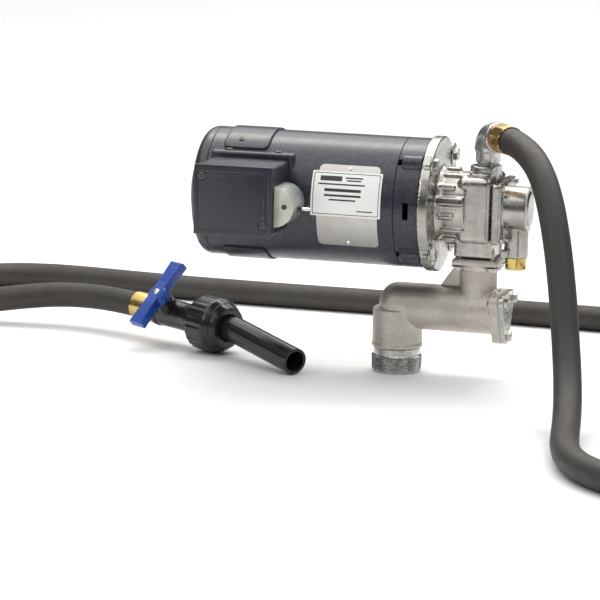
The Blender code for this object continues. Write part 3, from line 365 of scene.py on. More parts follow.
def off_shaft(x, radius, degrees):
    """Local Z points away from the shaft, from a point on a circle round it."""
    at = round_shaft(x, radius, degrees)
    return axes_at(at, at - on_shaft(x), X_AXIS)


def temp(work, at=None):
    """A linked object that holds a bmesh, moved by the matrix at, faces out."""
    if at is not None:
        work.transform(at)
    bmesh.ops.recalc_face_normals(work, faces=work.faces)
    mesh = bpy.data.meshes.new("work")
    work.to_mesh(mesh)
    work.free()
    return linked("work", mesh)


def lathe(profile, at=None, sides=96, shape=None):
    """Turns (radius, height) points about local Z; a closed loop, unless it starts and ends on the axis.
    shape(angle, radius, height) may change a radius."""
    work = bmesh.new()
    closed = profile[0][0] > 0 or profile[-1][0] > 0
    rings = []
    for radius, height in profile:
        if radius <= 0:
            rings.append([work.verts.new((0, 0, height))])
            continue
        ring = []
        for i in range(sides):
            a = 2 * pi * i / sides
            r = shape(a, radius, height) if shape else radius
            ring.append(work.verts.new((r * cos(a), r * sin(a), height)))
        rings.append(ring)
    pairs = list(zip(rings, rings[1:]))
    if closed:
        pairs.append((rings[-1], rings[0]))
    for low, high in pairs:
        for i in range(sides):
            j = (i + 1) % sides
            corners = [low[i % len(low)], low[j % len(low)], high[j % len(high)], high[i % len(high)]]
            corners = [v for k, v in enumerate(corners) if v is not corners[k - 1]]
            if len(corners) > 2:
                work.faces.new(corners)
    return temp(work, at)


def cylinder(radius, length, at, sides=48, top=None):
    """A round solid for building and cutting, which tapers to the radius top if that is given."""
    top = radius if top is None else top
    return lathe([(0, 0), (radius, 0), (top, length), (0, length)], at, sides)


def block(low, high, edge=0.0, segments=4, at=None):
    """A box between two corners with rounded edges."""
    low, high = Vector(low), Vector(high)
    work = bmesh.new()
    bmesh.ops.create_cube(work, size=1.0)
    work.transform(Matrix.Translation((low + high) / 2) @ Matrix.Diagonal((*(high - low), 1)))
    if edge:
        bmesh.ops.bevel(work, geom=work.edges[:], offset=edge, segments=segments, profile=0.5, affect="EDGES")
    return temp(work, at)


def prism(loop, low, high, at=None, edge=0.0, segments=2):
    """A flat loop of (x, y) points made solid from z low to z high, with rounded rims."""
    work = bmesh.new()
    bottom = [work.verts.new((x, y, low)) for x, y in loop]
    top = [work.verts.new((x, y, high)) for x, y in loop]
    work.faces.new(bottom[::-1])
    work.faces.new(top)
    for i in range(len(loop)):
        j = (i + 1) % len(loop)
        work.faces.new((bottom[i], bottom[j], top[j], top[i]))
    if edge:
        rims = [e for e in work.edges if abs(e.verts[0].co.z - e.verts[1].co.z) < 1e-9]
        bmesh.ops.bevel(work, geom=rims, offset=edge, segments=segments, profile=0.5, affect="EDGES")
    return temp(work, at)


def bevelled(obj, width, segments=2):
    """The object with its sharp edges rounded."""
    made = obj.modifiers.new("edges", "BEVEL")
    made.width = width
    made.segments = segments
    made.limit_method = "ANGLE"
    made.angle_limit = radians(30)
    return applied(obj)


def applied(obj):
    """The object with its modifiers made real."""
    bpy.context.view_layer.update()
    mesh = bpy.data.meshes.new_from_object(obj.evaluated_get(bpy.context.evaluated_depsgraph_get()))
    obj.modifiers.clear()
    obj.data = mesh
    return obj


def boolean(obj, others, operation, solver="EXACT"):
    for other in others:
        step = obj.modifiers.new("step", "BOOLEAN")
        step.operation = operation
        step.solver = solver
        step.object = other
    applied(obj)
    for other in others:
        bpy.data.objects.remove(other)
    return obj


def union(obj, *others):
    return boolean(obj, others, "UNION")


def minus(obj, *others, solver="EXACT"):
    return boolean(obj, others, "DIFFERENCE", solver)


def machined(casting, cuts):
    """A casting with its bores and flat faces cut."""
    for cutter in cuts:
        minus(casting, cutter, solver="MANIFOLD")
    return casting


def together(*objs):
    """Separate closed bodies as one object."""
    work = bmesh.new()
    for obj in objs:
        work.from_mesh(obj.data)
        bpy.data.objects.remove(obj)
    mesh = bpy.data.meshes.new("work")
    work.to_mesh(mesh)
    work.free()
    return linked("work", mesh)


def cast(solids, voxel, soften):
    """Fuses overlapping solids into one casting whose joins and edges have small fillets."""
    made = together(*solids)
    remesh = made.modifiers.new("fuse", "REMESH")
    remesh.mode = "VOXEL"
    remesh.voxel_size = voxel
    soft = made.modifiers.new("soften", "SMOOTH")
    soft.factor = 0.5
    soft.iterations = soften
    return applied(made)


def piece(obj, name, look, body="root", replaces=(), degrees=38):
    """Names a finished solid and makes it a piece of the object."""
    obj.name = name
    obj.data.name = name
    obj.data.materials.clear()
    obj.data.materials.append(look)
    for polygon in obj.data.polygons:
        polygon.use_smooth = True
    obj.data.set_sharp_from_angle(angle=radians(degrees))
    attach(obj, body)
    if replaces:
        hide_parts(*replaces)


def arc(centre, radius, start, stop, steps):
    """Points (x, y) on a circle from one angle to another, in degrees."""
    found = []
    for i in range(steps + 1):
        a = radians(start + (stop - start) * i / steps)
        found.append((centre[0] + radius * cos(a), centre[1] + radius * sin(a)))
    return found


def flats(angle, near, sides=6):
    """How far out a regular polygon reaches at an angle, with its flats at the distance near."""
    half = pi / sides
    return near / cos((angle + half) % (2 * half) - half)


def hex_head(at, across, height, washer=0.0):
    """A hexagon head with its corners chamfered on top. Its underside is at local z 0."""
    near = across / 2

    def hexagon(angle, radius, _height):
        return min(flats(angle, near), radius)

    reach = near / cos(pi / 6)
    profile = [(0, washer), (reach, washer), (reach, height * 0.8), (near * 1.06, height * 0.93),
               (near * 0.96, height), (0, height)]
    solid = lathe(profile, at, sides=72, shape=hexagon)
    if washer:
        rim = across * 0.93
        ring = [(0, 0), (rim, 0), (rim, washer * 0.75), (across * 0.9, washer), (0, washer + 0.0001)]
        solid = together(solid, lathe(ring, at, sides=48))
    return solid


def bolt(node, head, shank):
    """A head and its shank in the place of one CAD bolt."""
    piece(together(head, shank), node + "_head", ZINC, replaces=(node,))


def pan_head(at, radius, height):
    """A domed screw head with a cross recess. Its underside is at local z 0."""
    skirt = 0.35
    dome = [(0, 0), (radius, 0), (radius, height * skirt)]
    for degrees in (30, 60):
        a = radians(degrees)
        dome.append((radius * cos(a), height * (skirt + (1 - skirt) * sin(a))))
    solid = lathe(dome + [(0, height)], None, sides=32)
    reach, wide, deep = radius * 0.62, radius * 0.13, height * 0.5
    for turn in (0.5, 0.5 + pi / 2):
        minus(solid, block((-reach, -wide, height - deep), (reach, wide, height * 1.5),
                           at=Matrix.Rotation(turn, 4, "Z")))
    solid.data.transform(at)
    return solid


def sweep(points, radii, sides):
    """A solid tube through points, with a radius at each. It starts upright."""
    work = bmesh.new()
    rings = []
    up = X_AXIS
    for i, point in enumerate(points):
        ahead = points[min(i + 1, len(points) - 1)] - points[max(i - 1, 0)]
        ahead.normalize()
        up = (up - ahead * up.dot(ahead)).normalized()
        side = ahead.cross(up)
        ring = []
        for k in range(sides):
            a = 2 * pi * k / sides
            ring.append(work.verts.new(point + (up * cos(a) + side * sin(a)) * radii[i]))
        rings.append(ring)
    for low, high in zip(rings, rings[1:]):
        for k in range(sides):
            n = (k + 1) % sides
            work.faces.new((low[k], low[n], high[n], high[k]))
    work.faces.new(rings[0])
    work.faces.new(rings[-1])
    return temp(work)


def bent_plate(x_range, from_deg, to_deg, inner, thick, corner=0.0, rows=24, columns=10):
    """A plate curved round the shaft between two angles, with rounded corners."""
    low_x, high_x = x_range
    middle_x, half_x = (low_x + high_x) / 2, (high_x - low_x) / 2
    half_v = radians(to_deg - from_deg) / 2 * inner
    middle = radians(from_deg + to_deg) / 2
    corner = min(corner, half_x, half_v)
    places = [-half_v + 2 * half_v * i / rows for i in range(rows + 1)]
    steps = 6
    if corner:
        for i in range(1, steps):
            d = corner * (1 - cos(pi / 2 * i / steps))
            places += [half_v - d, -half_v + d]
    places = sorted(set(places))
    work = bmesh.new()
    skins = []
    for level in (0, 1):
        grid = []
        for v in places:
            over = max(0.0, abs(v) - (half_v - corner))
            reach = half_x - (corner - sqrt(max(corner ** 2 - over ** 2, 0.0)))
            row = []
            for j in range(columns + 1):
                u = -reach + 2 * reach * j / columns
                a = middle + v / inner
                r = inner + level * thick
                row.append(work.verts.new((middle_x + u, SHAFT.y - r * sin(a), SHAFT.z + r * cos(a))))
            grid.append(row)
        skins.append(grid)
        for i in range(len(places) - 1):
            for j in range(columns):
                work.faces.new((grid[i][j], grid[i][j + 1], grid[i + 1][j + 1], grid[i + 1][j]))

    def rim_of(grid):
        rim = list(grid[0]) + [row[-1] for row in grid[1:]] + list(grid[-1][:-1])[::-1]
        return rim + [row[0] for row in grid[1:-1]][::-1]

    low, high = rim_of(skins[0]), rim_of(skins[1])
    for i in range(len(low)):
        j = (i + 1) % len(low)
        work.faces.new((low[i], low[j], high[j], high[i]))
    return temp(work)


# The motor


def along(x, y=0.0, z=0.0):
    """Local Z along +X from a point that is x along the shaft's line."""
    return axes_at(on_shaft(x, y, z), X_AXIS)


def motor_casings():
    wall = SHELL_INNER_R
    chamfer = 0.0006
    low, high = 0.0, SHELL_X[1] - SHELL_X[0]
    shell = [
        (wall, low), (SHELL_R - chamfer, low), (SHELL_R, low + chamfer), (SHELL_R, high - chamfer),
        (SHELL_R - chamfer, high), (wall, high),
    ]
    piece(lathe(shell, along(SHELL_X[0]), 160), "shell_painted_tube", PAINT, replaces=("motor_shell",))

    depth = 0.0247
    plate = 0.005
    round_r = 0.0125
    cap_edge = 0.0012
    rear = [(0, plate), (0.0125, plate), (0.0125, 0.0165), (0.0165, 0.0165), (0.0165, plate), (0.0405, plate),
            (0.0405, 0.0125), (0.06, 0.0125)]
    rear += [(wall, 0.02), (wall, depth), (SHELL_R - chamfer, depth), (SHELL_R, depth - chamfer)]
    rear += arc((SHELL_R - round_r, CAP_T + round_r), round_r, 0, -90, 10)
    rear += [(CAP_R + 0.0015, CAP_T), (CAP_R, CAP_T - cap_edge), (CAP_R, cap_edge), (CAP_R - cap_edge, 0)]
    rear.append((0, 0))
    bell = lathe(rear, along(REAR_X), 160)
    slots = []
    for i in range(8):
        slot = block((0.026, -0.0045, -0.02), (0.054, 0.0045, 0.02), 0.003, 3,
                     Matrix.Rotation(radians(22.5 + 45 * i), 4, "Z"))
        slot.data.transform(along(REAR_X))
        slots.append(slot)
    minus(bell, *slots)
    piece(bell, "bell_rear_slotted", PAINT, replaces=("rear_end_bell",), degrees=30)

    start = SHELL_X[1] + 0.0003
    length = FACE_X - start
    lip = 0.0012
    front = [
        (0.01, length - 0.006), (0.01, length), (SHELL_R - lip, length), (SHELL_R, length - lip),
        (SHELL_R, chamfer), (SHELL_R - chamfer, 0.0), (wall, 0.0), (wall, length - 0.011),
        (0.06, length - 0.006),
    ]
    bell = lathe(front, along(start), 160)
    ear_r, ear_x = 0.0095, 0.0183
    ears = []
    for turn in FACE_BOLTS:
        ear = [(0, 0), (ear_r - 0.0008, 0), (ear_r, 0.001), (ear_r, FACE_X - ear_x), (0, FACE_X - ear_x)]
        ears.append(lathe(ear, axes_at(round_shaft(ear_x, FACE_BOLT_R, turn), X_AXIS), 40))
    union(bell, *ears)
    cuts = []
    for turn in (90, 180, 270):
        at = axes_at(round_shaft(0.027, 0.074, turn), radial(turn), radial(turn + 90))
        cuts.append(block((-0.0035, -0.01, -0.02), (0.0035, 0.01, 0.02), 0.0015, 3, at))
    for turn in FACE_BOLTS:
        cuts.append(cylinder(0.0049, 0.04, axes_at(round_shaft(0.01, FACE_BOLT_R, turn), X_AXIS), 24))
    minus(bell, *cuts)
    piece(bell, "bell_front_lugged", PAINT, replaces=("front_end_bell",), degrees=30)


def brush_cover(side, turn):
    start, stop = -0.201, -0.148
    reach = 40
    cover = bent_plate((start, stop), turn - reach, turn + reach, SHELL_R + 0.0003, 0.0019, 0.006)
    piece(bevelled(cover, 0.0005), "brush_cover_" + side + "_plate", PAINT, replaces=("brush_cover_" + side,))
    # A dark ring a little wider than the cover, just under its rim, is a painted shadow where the cover's
    # edge stands off the shell
    outer, inner = reach + 1.1, reach + 0.3
    shadow_ring = bent_plate((start - 0.0014, stop + 0.0014), turn - outer, turn + outer,
                      SHELL_R + 0.0001, 0.0009, 0.0065)
    gap = bent_plate((start - 0.0004, stop + 0.0004), turn - inner, turn + inner,
                     SHELL_R - 0.003, 0.008, 0.0061)
    piece(minus(shadow_ring, gap), "brush_cover_" + side + "_painted_shadow_rim", SHADOW)
    for i, aside in enumerate((-30, 30)):
        screw = pan_head(off_shaft(-0.182, SHELL_R + 0.0021, turn + aside), 0.0036, 0.0014)
        piece(screw, "brush_cover_%s_screw_%d" % (side, i + 1), DARK_STEEL)


def name_plate():
    plate = bent_plate((-0.079, -0.006), 52, 127, SHELL_R + 0.0003, 0.0009, 0.006, rows=36)
    piece(plate, "plate_brushed", SILVER, replaces=("name_plate",))
    for i, turn in enumerate((55.5, 123.0)):
        head = [(0, 0), (0.0024, 0), (0.0021, 0.0007), (0.0012, 0.0011), (0, 0.0012)]
        rivet = lathe(head, off_shaft(-0.0425, SHELL_R + 0.0011, turn), 24)
        piece(rivet, "plate_rivet_%d" % (i + 1), CHROME)
    left, right = -0.0862, -0.0022
    top, bottom = 58.5, 98.0
    label = bent_plate((left, right), top, bottom, SHELL_R + 0.0013, 0.00025, 0.0015)
    piece(label, "label_paper", LABEL)
    ink = 0.00012
    base = SHELL_R + 0.0015
    inset, thick = 0.0022, 0.0008
    turn = to_degrees(inset / base)
    more = to_degrees((inset + thick) / base)
    line = bent_plate((left + inset, right - inset), top + turn, bottom - turn, base, ink, 0.0008)
    gap = bent_plate((left + inset + thick, right - inset - thick), top + more, bottom - more,
                     base - 0.002, 0.005, 0.0005)
    piece(minus(line, gap), "label_border", INK)
    # Plain bars stand for lines of print: from and to in degrees, then in metres from the label's left edge
    lines = ((63.0, 67.4, 0.01, 0.036), (63.6, 64.9, 0.04, 0.061), (66.0, 67.2, 0.042, 0.059),
             (69.6, 70.9, 0.008, 0.064), (74.0, 76.6, 0.016, 0.06), (79.0, 80.8, 0.016, 0.06),
             (83.0, 84.3, 0.022, 0.054), (92.0, 93.0, 0.056, 0.075))
    bars = [bent_plate((left + x0, left + x1), a, b, base, ink, rows=6, columns=4) for a, b, x0, x1 in lines]
    piece(together(*bars), "label_bars", INK)


def conduit_box():
    left, right = BOX_X
    front, back = BOX_Y
    floor, roof = BOX_Z
    wall, over, raise_in, tab_top = 0.0045, 0.001, 0.006, 0.264
    body = block((left, front, floor), (right, back, roof), 0.004, 5)
    tab = block((left - 0.004, -0.082, 0.235), (right + 0.004, -0.056, tab_top), 0.003)
    union(body, tab)
    saddle = cylinder(SHELL_R + 0.0003, 0.3, along(-0.3), 128)
    cavity = block((left + wall, -0.16, floor + wall), (right - wall, -0.1, roof - wall), 0.0015, 2)
    minus(body, saddle, cavity)
    piece(bevelled(body, 0.0004, 1), "box_body", PAINT, replaces=("conduit_box",), degrees=30)

    lid = block((left - over, -0.156, floor - over), (right + over, front - 0.0003, roof + over), 0.0014, 3)
    raised = block((left + raise_in, -0.158, floor + raise_in),
                   (right - raise_in, -0.155, roof - raise_in), 0.0011)
    union(lid, raised)
    seats = [axes_at((x, -0.1568, z), -Y_AXIS) for x, z in ((-0.1992, 0.244), (-0.125, 0.19))]
    for seat in seats:
        minus(lid, cylinder(0.0058, 0.01, seat, 40))
    piece(bevelled(lid, 0.0003, 1), "box_lid", PAINT, replaces=("conduit_box_cover",), degrees=30)
    for i, seat in enumerate(seats):
        piece(pan_head(seat, 0.0046, 0.0022), "box_screw_%d" % (i + 1), DARK_STEEL)
    for i, x in enumerate((-0.193, -0.133)):
        screw = pan_head(axes_at((x, -0.069, tab_top)), 0.0044, 0.0024)
        piece(screw, "box_tab_screw_%d" % (i + 1), DARK_STEEL)


def d_loop(radius, flat):
    """A D with its round side towards +x and its flat side at x = flat."""
    return [(flat, -radius)] + arc((0, 0), radius, -90, 90, 32)[1:-1] + [(flat, radius)]


def switch():
    side_x = -0.1157
    front_y, back_y = -0.145, -0.094
    radius, wall, face = 0.023, 0.002, 0.0016
    # Local X runs along +X and local Y up, so that local Z comes out to the front
    frame_at = placed(X_AXIS, Z_AXIS, -Y_AXIS, Vector((side_x, front_y, 0.2105)))
    deep = back_y - front_y
    rim = prism(d_loop(radius, 0.0), -deep, -face, frame_at, 0.0008)
    hollow = prism(d_loop(radius - wall, -0.01), -deep - 0.01, -0.0012 - face, frame_at)
    hole = cylinder(0.0046, 0.03, axes_at((side_x + 0.01, TOGGLE.y, TOGGLE.z), X_AXIS), 32)
    minus(rim, hollow, hole)
    piece(rim, "guard_rim", GUARD_RIM, replaces=("switch_guard",), degrees=30)
    plate = prism(d_loop(radius + 0.0004, 0.0), -0.0015, 0.0, frame_at, 0.0006)
    screw_x, screw_y = 0.0125, 0.001
    minus(plate, cylinder(0.0035, 0.01, frame_at @ Matrix.Translation((screw_x, screw_y, -0.005)), 32))
    piece(plate, "guard_face", CREAM, degrees=30)
    screw_at = frame_at @ Matrix.Translation((screw_x, screw_y, -face))
    piece(pan_head(screw_at, 0.0027, 0.0012), "guard_screw", DARK_STEEL)
    half_y, half_z = 0.0085, 0.011
    body = block((side_x + 0.0005, TOGGLE.y - half_y, TOGGLE.z - half_z),
                 (side_x + 0.0135, TOGGLE.y + half_y, TOGGLE.z + half_z), 0.0008, 2)
    bush = [(0.0028, 0.0), (0.004, 0.0), (0.004, 0.0125), (0.0036, 0.0135), (0.0028, 0.0135)]
    union(body, lathe(bush, axes_at((side_x + 0.0128, TOGGLE.y, TOGGLE.z), X_AXIS), 32))
    piece(body, "toggle_body", BLACK, replaces=("toggle_switch_body",), degrees=30)
    lever = [(0, 0.0125), (0.0012, 0.0124), (0.0018, 0.0118), (0.0021, 0.0105), (0.0021, 0.0085),
             (0.0014, -0.001), (0, -0.001)]
    piece(lathe(lever, axes_at(TOGGLE, X_AXIS), 32), "toggle_bat", CHROME, "toggle", ("toggle_lever",))


# The pump


def pump_body():
    low, high = FLANGE_X
    solids = [cylinder(0.08, high - low, along(low), 160)]
    bell_end = BLOCK_X[0] + 0.01
    solids.append(cylinder(0.04, bell_end - low, along(low), 96))
    solids.append(cylinder(0.046, 0.008, along(high - 0.001), 96, 0.04))
    ribs = 14
    for i in range(ribs):
        thick, reach = (0.0052, 0.0445) if i % 3 == 0 else (0.003, 0.0432)
        at = round_shaft(low, reach - 0.004, 360 / ribs * i)
        out = (at - on_shaft(low)).normalized()
        stop = bell_end if i % 2 else bell_end - 0.012
        rib_at = axes_at(at, X_AXIS, out)
        solids.append(block((-thick, -0.005, 0), (thick, 0.0045, stop - low), 0.0025, 3, rib_at))
    solids.append(block((BLOCK_X[0], -0.048, 0.166), (BLOCK_X[1], 0.046, 0.244), 0.008, 5))
    solids.append(block((0.0715, -0.027, 0.1463), (0.123, 0.027, 0.17), 0.003, 3))
    solids.append(cylinder(0.0205, 0.015, axes_at((PORT_X, 0, 0.239)), 64))
    for turn in FACE_BOLTS:
        at = round_shaft(low, FACE_BOLT_R - 0.001, turn)
        out = (at - on_shaft(low)).normalized()
        ear_at = axes_at(at, X_AXIS, out)
        solids.append(block((-0.0098, -0.01, 0), (0.0098, 0.0102, high - low), 0.003, 3, ear_at))
    gear_r, gear_x = 0.0178, 0.0976
    cuts = [
        cylinder(0.033, 0.084 - low + 0.01, along(low - 0.01), 96),
        cylinder(0.0133, 0.012, along(0.08)),
        cylinder(0.0103, 0.015, along(0.09)),
        cylinder(gear_r, 0.04, along(gear_x), 64),
        cylinder(gear_r, 0.04, along(gear_x, IDLER_Y), 64),
        cylinder(0.0063, 0.02, along(0.0888, IDLER_Y)),
        cylinder(0.0085, 0.05, axes_at((0.107, 0, 0.14)), 32),
        cylinder(0.0085, 0.04, axes_at((0.1065, 0, 0.221)), 32),
        cylinder(0.0136, 0.024, axes_at((PORT_X, 0, 0.244)), 48),
        block((low - 0.02, -0.12, 0.08), (low, 0.12, 0.32)),
        block((BLOCK_X[1], -0.12, 0.08), (BLOCK_X[1] + 0.02, 0.12, 0.32)),
    ]
    for turn in FACE_BOLTS:
        cuts.append(cylinder(0.0052, 0.03, axes_at(round_shaft(low - 0.01, FACE_BOLT_R, turn), X_AXIS), 24))
        # A machined spot face under each bolt head
        seat = axes_at(round_shaft(high - 0.0001, FACE_BOLT_R, turn), X_AXIS)
        cuts.append(cylinder(0.009, 0.012, seat, 40))
    for x, y in FOOT_BOLTS:
        cuts.append(cylinder(0.0032, 0.016, axes_at((x, y, 0.143)), 16))
    made = machined(cast(solids, 0.0011, 5), cuts)
    piece(made, "pump_casting", DIECAST, replaces=("pump_body",), degrees=50)
    for i, turn in enumerate(FACE_BOLTS):
        at = round_shaft(high + 0.0003, FACE_BOLT_R, turn)
        head = hex_head(axes_at(at, X_AXIS, radial(turn)), 0.0143, 0.0064, 0.0012)
        shank = cylinder(0.0046, 0.0242, axes_at(at + X_AXIS * 0.0002, -X_AXIS), 24)
        bolt("flange_bolt_%d" % (i + 1), head, shank)


def pump_cover():
    start, end = COVER_X
    solids = [
        block((start, -0.046, 0.166), (end, 0.044, 0.238), 0.004, 4),
        cylinder(0.0264, 0.1585 - end + 0.004, along(end - 0.004), 96),
        cylinder(0.024, 0.003, along(0.1575), 96, 0.018),
        cylinder(0.0142, 0.045, axes_at((BYPASS.x, BYPASS.y, 0.15)), 64),
        block((end - 0.002, -0.0273, 0.169), (BYPASS.x + 0.003, -0.0027, 0.193), 0.0015, 2),
        block((BYPASS.x - 0.015, -0.032, 0.15), (BYPASS.x - 0.006, -0.0245, 0.16), 0.001, 2),
    ]
    cuts = [
        cylinder(0.0103, 0.0355, along(start - 0.002)),
        cylinder(0.0063, 0.01, along(start - 0.002, IDLER_Y)),
        cylinder(0.0095, 0.04, axes_at((BYPASS.x, BYPASS.y, 0.148))),
        block((start - 0.02, -0.12, 0.08), (start, 0.12, 0.32)),
    ]
    made = machined(cast(solids, 0.0009, 5), cuts)
    piece(made, "cover_casting", DIECAST, replaces=("pump_cover",), degrees=50)
    for i, (y, z) in enumerate((y, z) for y in (-0.0405, 0.0385) for z in (0.1715, 0.2325)):
        piece(hex_head(axes_at((end, y, z), X_AXIS), 0.0072, 0.0036), "cover_screw_%d" % (i + 1), ZINC)
    cap = [
        (0, 0.0215), (0.005, 0.0215), (0.005, 0.019), (0.0091, 0.019), (0.0091, 0.0147), (0.0119, 0.0147),
        (0.0125, 0.014), (0.0125, 0.0014), (0.0121, 0.0004), (0.0112, 0), (0, 0),
    ]
    made = lathe(cap, axes_at((BYPASS.x, BYPASS.y, 0.135)), 64)
    piece(made, "bypass_plug", BRASS, replaces=("bypass_cap",))


def lug_at(x, degrees):
    """A point at x on the axis of one of the strainer cover's lugs."""
    a = radians(degrees)
    return Vector((x, LUG_R * sin(a), BASE_Z - LUG_R * cos(a)))


def lugged_plate(low, high, edge):
    """The three-lugged plate round the suction pipe's end, from x low to x high."""
    loop = []
    for degrees in LUGS:
        a = radians(degrees)
        loop += arc((LUG_R * cos(a), LUG_R * sin(a)), 0.0095, degrees - 60, degrees + 60, 12)
    # Local X is down and local Y is world Y
    frame_at = placed(-Z_AXIS, Y_AXIS, X_AXIS, Vector((0, 0, BASE_Z)))
    return prism(loop, low, high, frame_at, edge)


def suction_housing():
    pipe_at = axes_at((0, 0, BASE_Z), X_AXIS)
    collar_at = axes_at((0, 0, 0.03))
    cover_x = 0.1279
    solids = [
        cylinder(PIPE_R, 0.123, pipe_at, 96),
        cylinder(0.0297, 0.0465, collar_at, 96),
        cylinder(0.022, 0.06, axes_at((RISER_X, 0, BASE_Z)), 64),
        cylinder(0.0265, 0.008, axes_at((RISER_X, 0, 0.13)), 64, 0.028),
        block((0.07, -0.0285, 0.136), (0.1245, 0.0285, FOOT_Z), 0.003, 3),
        lugged_plate(0.117, cover_x, 0.0005),
    ]
    dome = 0.0225
    end = [(0, -dome)]
    for degrees in range(8, 91, 8):
        a = radians(degrees)
        end.append((PIPE_R * sin(a), -dome * cos(a)))
    solids.append(lathe(end + [(PIPE_R, 0.006), (0, 0.006)], pipe_at, 96))
    gusset = placed(X_AXIS, Z_AXIS, -Y_AXIS, Vector((0, 0, BASE_Z + 0.01)))
    loop = [(0.04, 0.0), (0.082, 0.0), (0.082, 0.05), (0.074, 0.05)]
    solids.append(prism(loop, -0.003, 0.003, gusset))
    # A raised band round the collar's lower end
    solids.append(cylinder(0.0303, 0.0045, collar_at, 96))
    cuts = [
        cylinder(0.021, 0.135, pipe_at, 64),
        cylinder(0.0206, 0.06, axes_at((0, 0, 0.02)), 64),
        cylinder(0.014, 0.07, axes_at((RISER_X, 0, BASE_Z)), 48),
        block((cover_x, -0.08, 0.02), (0.15, 0.08, 0.14)),
        block((0.0, -0.08, FOOT_Z), (0.2, 0.08, 0.16)),
        block((-0.06, -0.06, 0.0), (0.06, 0.06, 0.03)),
    ]
    for x, y in FOOT_BOLTS:
        cuts.append(cylinder(0.0034, 0.015, axes_at((x, y, 0.133)), 16))
    for degrees in LUGS:
        cuts.append(cylinder(0.0036, 0.02, axes_at(lug_at(0.113, degrees), X_AXIS), 16))
    made = machined(cast(solids, 0.0008, 3), cuts)
    piece(made, "suction_casting", SANDCAST, replaces=("suction_housing",), degrees=50)
    for i, (x, y) in enumerate(FOOT_BOLTS):
        head = hex_head(axes_at((x, y, 0.1357), -Z_AXIS, X_AXIS), 0.01, 0.0055, 0.0009)
        shank = cylinder(0.0029, 0.0201, axes_at((x, y, 0.1356)), 20)
        bolt("suction_bolt_%d" % (i + 1), head, shank)
    plate = lugged_plate(0.1282, STRAINER_X, 0.0009)
    for degrees in LUGS:
        minus(plate, cylinder(0.0036, 0.02, axes_at(lug_at(0.125, degrees), X_AXIS), 16))
    piece(plate, "strainer_plate", GALVANISED, replaces=("strainer_cover",), degrees=30)
    for i, degrees in enumerate(LUGS):
        head = hex_head(axes_at(lug_at(STRAINER_X + 0.0003, degrees), X_AXIS), 0.0111, 0.005)
        shank = cylinder(0.0031, 0.0141, axes_at(lug_at(STRAINER_X + 0.0004, degrees), -X_AXIS), 20)
        bolt("strainer_bolt_%d" % (i + 1), head, shank)


def bung_adapter():
    """A bushing with a tapered pipe thread below a rough galvanised band."""
    bore, neck, top = 0.017, 0.0202, 0.045
    band, band_low = 0.0278, 0.0212
    profile = [(neck, top), (neck, 0.0297), (0.027, 0.0297), (band, 0.0285), (band, band_low)]
    profile.append((0.0282, 0.0205))
    pitch, depth, taper = 0.0022, 0.0012, 0.033
    thread_r, thread_top = 0.03015, 0.019
    z = thread_top
    while z > 0.002:
        r = thread_r - (thread_top - z) * taper
        profile += [(r, z), (r - depth, z - pitch / 2)]
        z -= pitch
    profile += [(0.0282, 0.0004), (0.0276, 0), (bore, 0), (bore, top)]
    made = lathe(profile, axes_at((0, 0, 0)))
    piece(made, "adapter_threaded", GALVANISED, replaces=("bung_adapter",), degrees=25)


# The discharge side


def elbow_bend(steps):
    """Points along the middle of the elbow's quarter bend."""
    foot = Vector((PORT_X, 0, 0))
    bend_r = 0.016
    turns = [radians(90 / steps * i) for i in range(steps + 1)]
    return [foot + HEADING * bend_r * (1 - cos(a)) + Z_AXIS * (ELBOW_Z - bend_r + bend_r * sin(a))
            for a in turns]


def discharge_elbow():
    foot = Vector((PORT_X, 0, 0))
    mouth = foot + Z_AXIS * ELBOW_Z
    path, radii = [], []

    def add(point, radius):
        path.append(point)
        radii.append(radius)

    pitch = 0.0018
    z = 0.2446
    while z < 0.258:
        add(foot + Z_AXIS * z, 0.0131)
        add(foot + Z_AXIS * (z + pitch / 2), 0.0122)
        z += pitch
    for z, r in ((0.2582, 0.014), (0.2592, 0.0147), (0.2685, 0.0147), (0.27, 0.0152), (0.2715, 0.016)):
        add(foot + Z_AXIS * z, r)
    for point in elbow_bend(12):
        add(point, 0.0165)
    for reach, r in ((0.019, 0.0165), (0.0199, 0.0178), (0.0207, 0.0182), (0.0275, 0.0182), (0.0284, 0.0179),
                     (0.029, 0.017)):
        add(mouth + HEADING * reach, r)
    made = sweep(path, radii, 72)
    bore = [foot + Z_AXIS * 0.24, foot + Z_AXIS * 0.27] + elbow_bend(8) + [mouth + HEADING * 0.04]
    minus(made, sweep(bore, [0.0108] * len(bore), 40))
    piece(made, "elbow_cast", GALVANISED, replaces=("discharge_elbow",), degrees=40)

    facets = 10
    hex_start, hex_low = 0.0345, 0.0168

    def many_sided(angle, radius, height):
        if height < hex_start or radius < hex_low:
            return radius
        return flats(angle, radius * cos(pi / facets), facets) + 0.0003

    fitting = [
        (0.0166, 0.058), (0.0171, 0.0574), (0.0172, 0.0565), (0.0172, 0.0352), (0.0168, 0.0345),
        (0.0155, 0.0342),
        (0.0155, 0.0293), (0.0098, 0.0293), (0.0098, 0.02), (0.008, 0.02), (0.008, 0.044), (0.0164, 0.044),
        (0.0164, 0.058),
    ]
    mouth_at = axes_at(mouth, HEADING)
    made = lathe(fitting, mouth_at, 80, many_sided)
    piece(made, "pump_ferrule", BRASS, replaces=("hose_fitting_pump",), degrees=20)
    ring = [(0.0157, 0.0293), (0.0166, 0.0296), (0.0168, 0.0312), (0.0166, 0.0328), (0.0157, 0.0331)]
    piece(lathe(ring, mouth_at, 64), "pump_ferrule_ring", COPPER)


# The hose and its nozzle


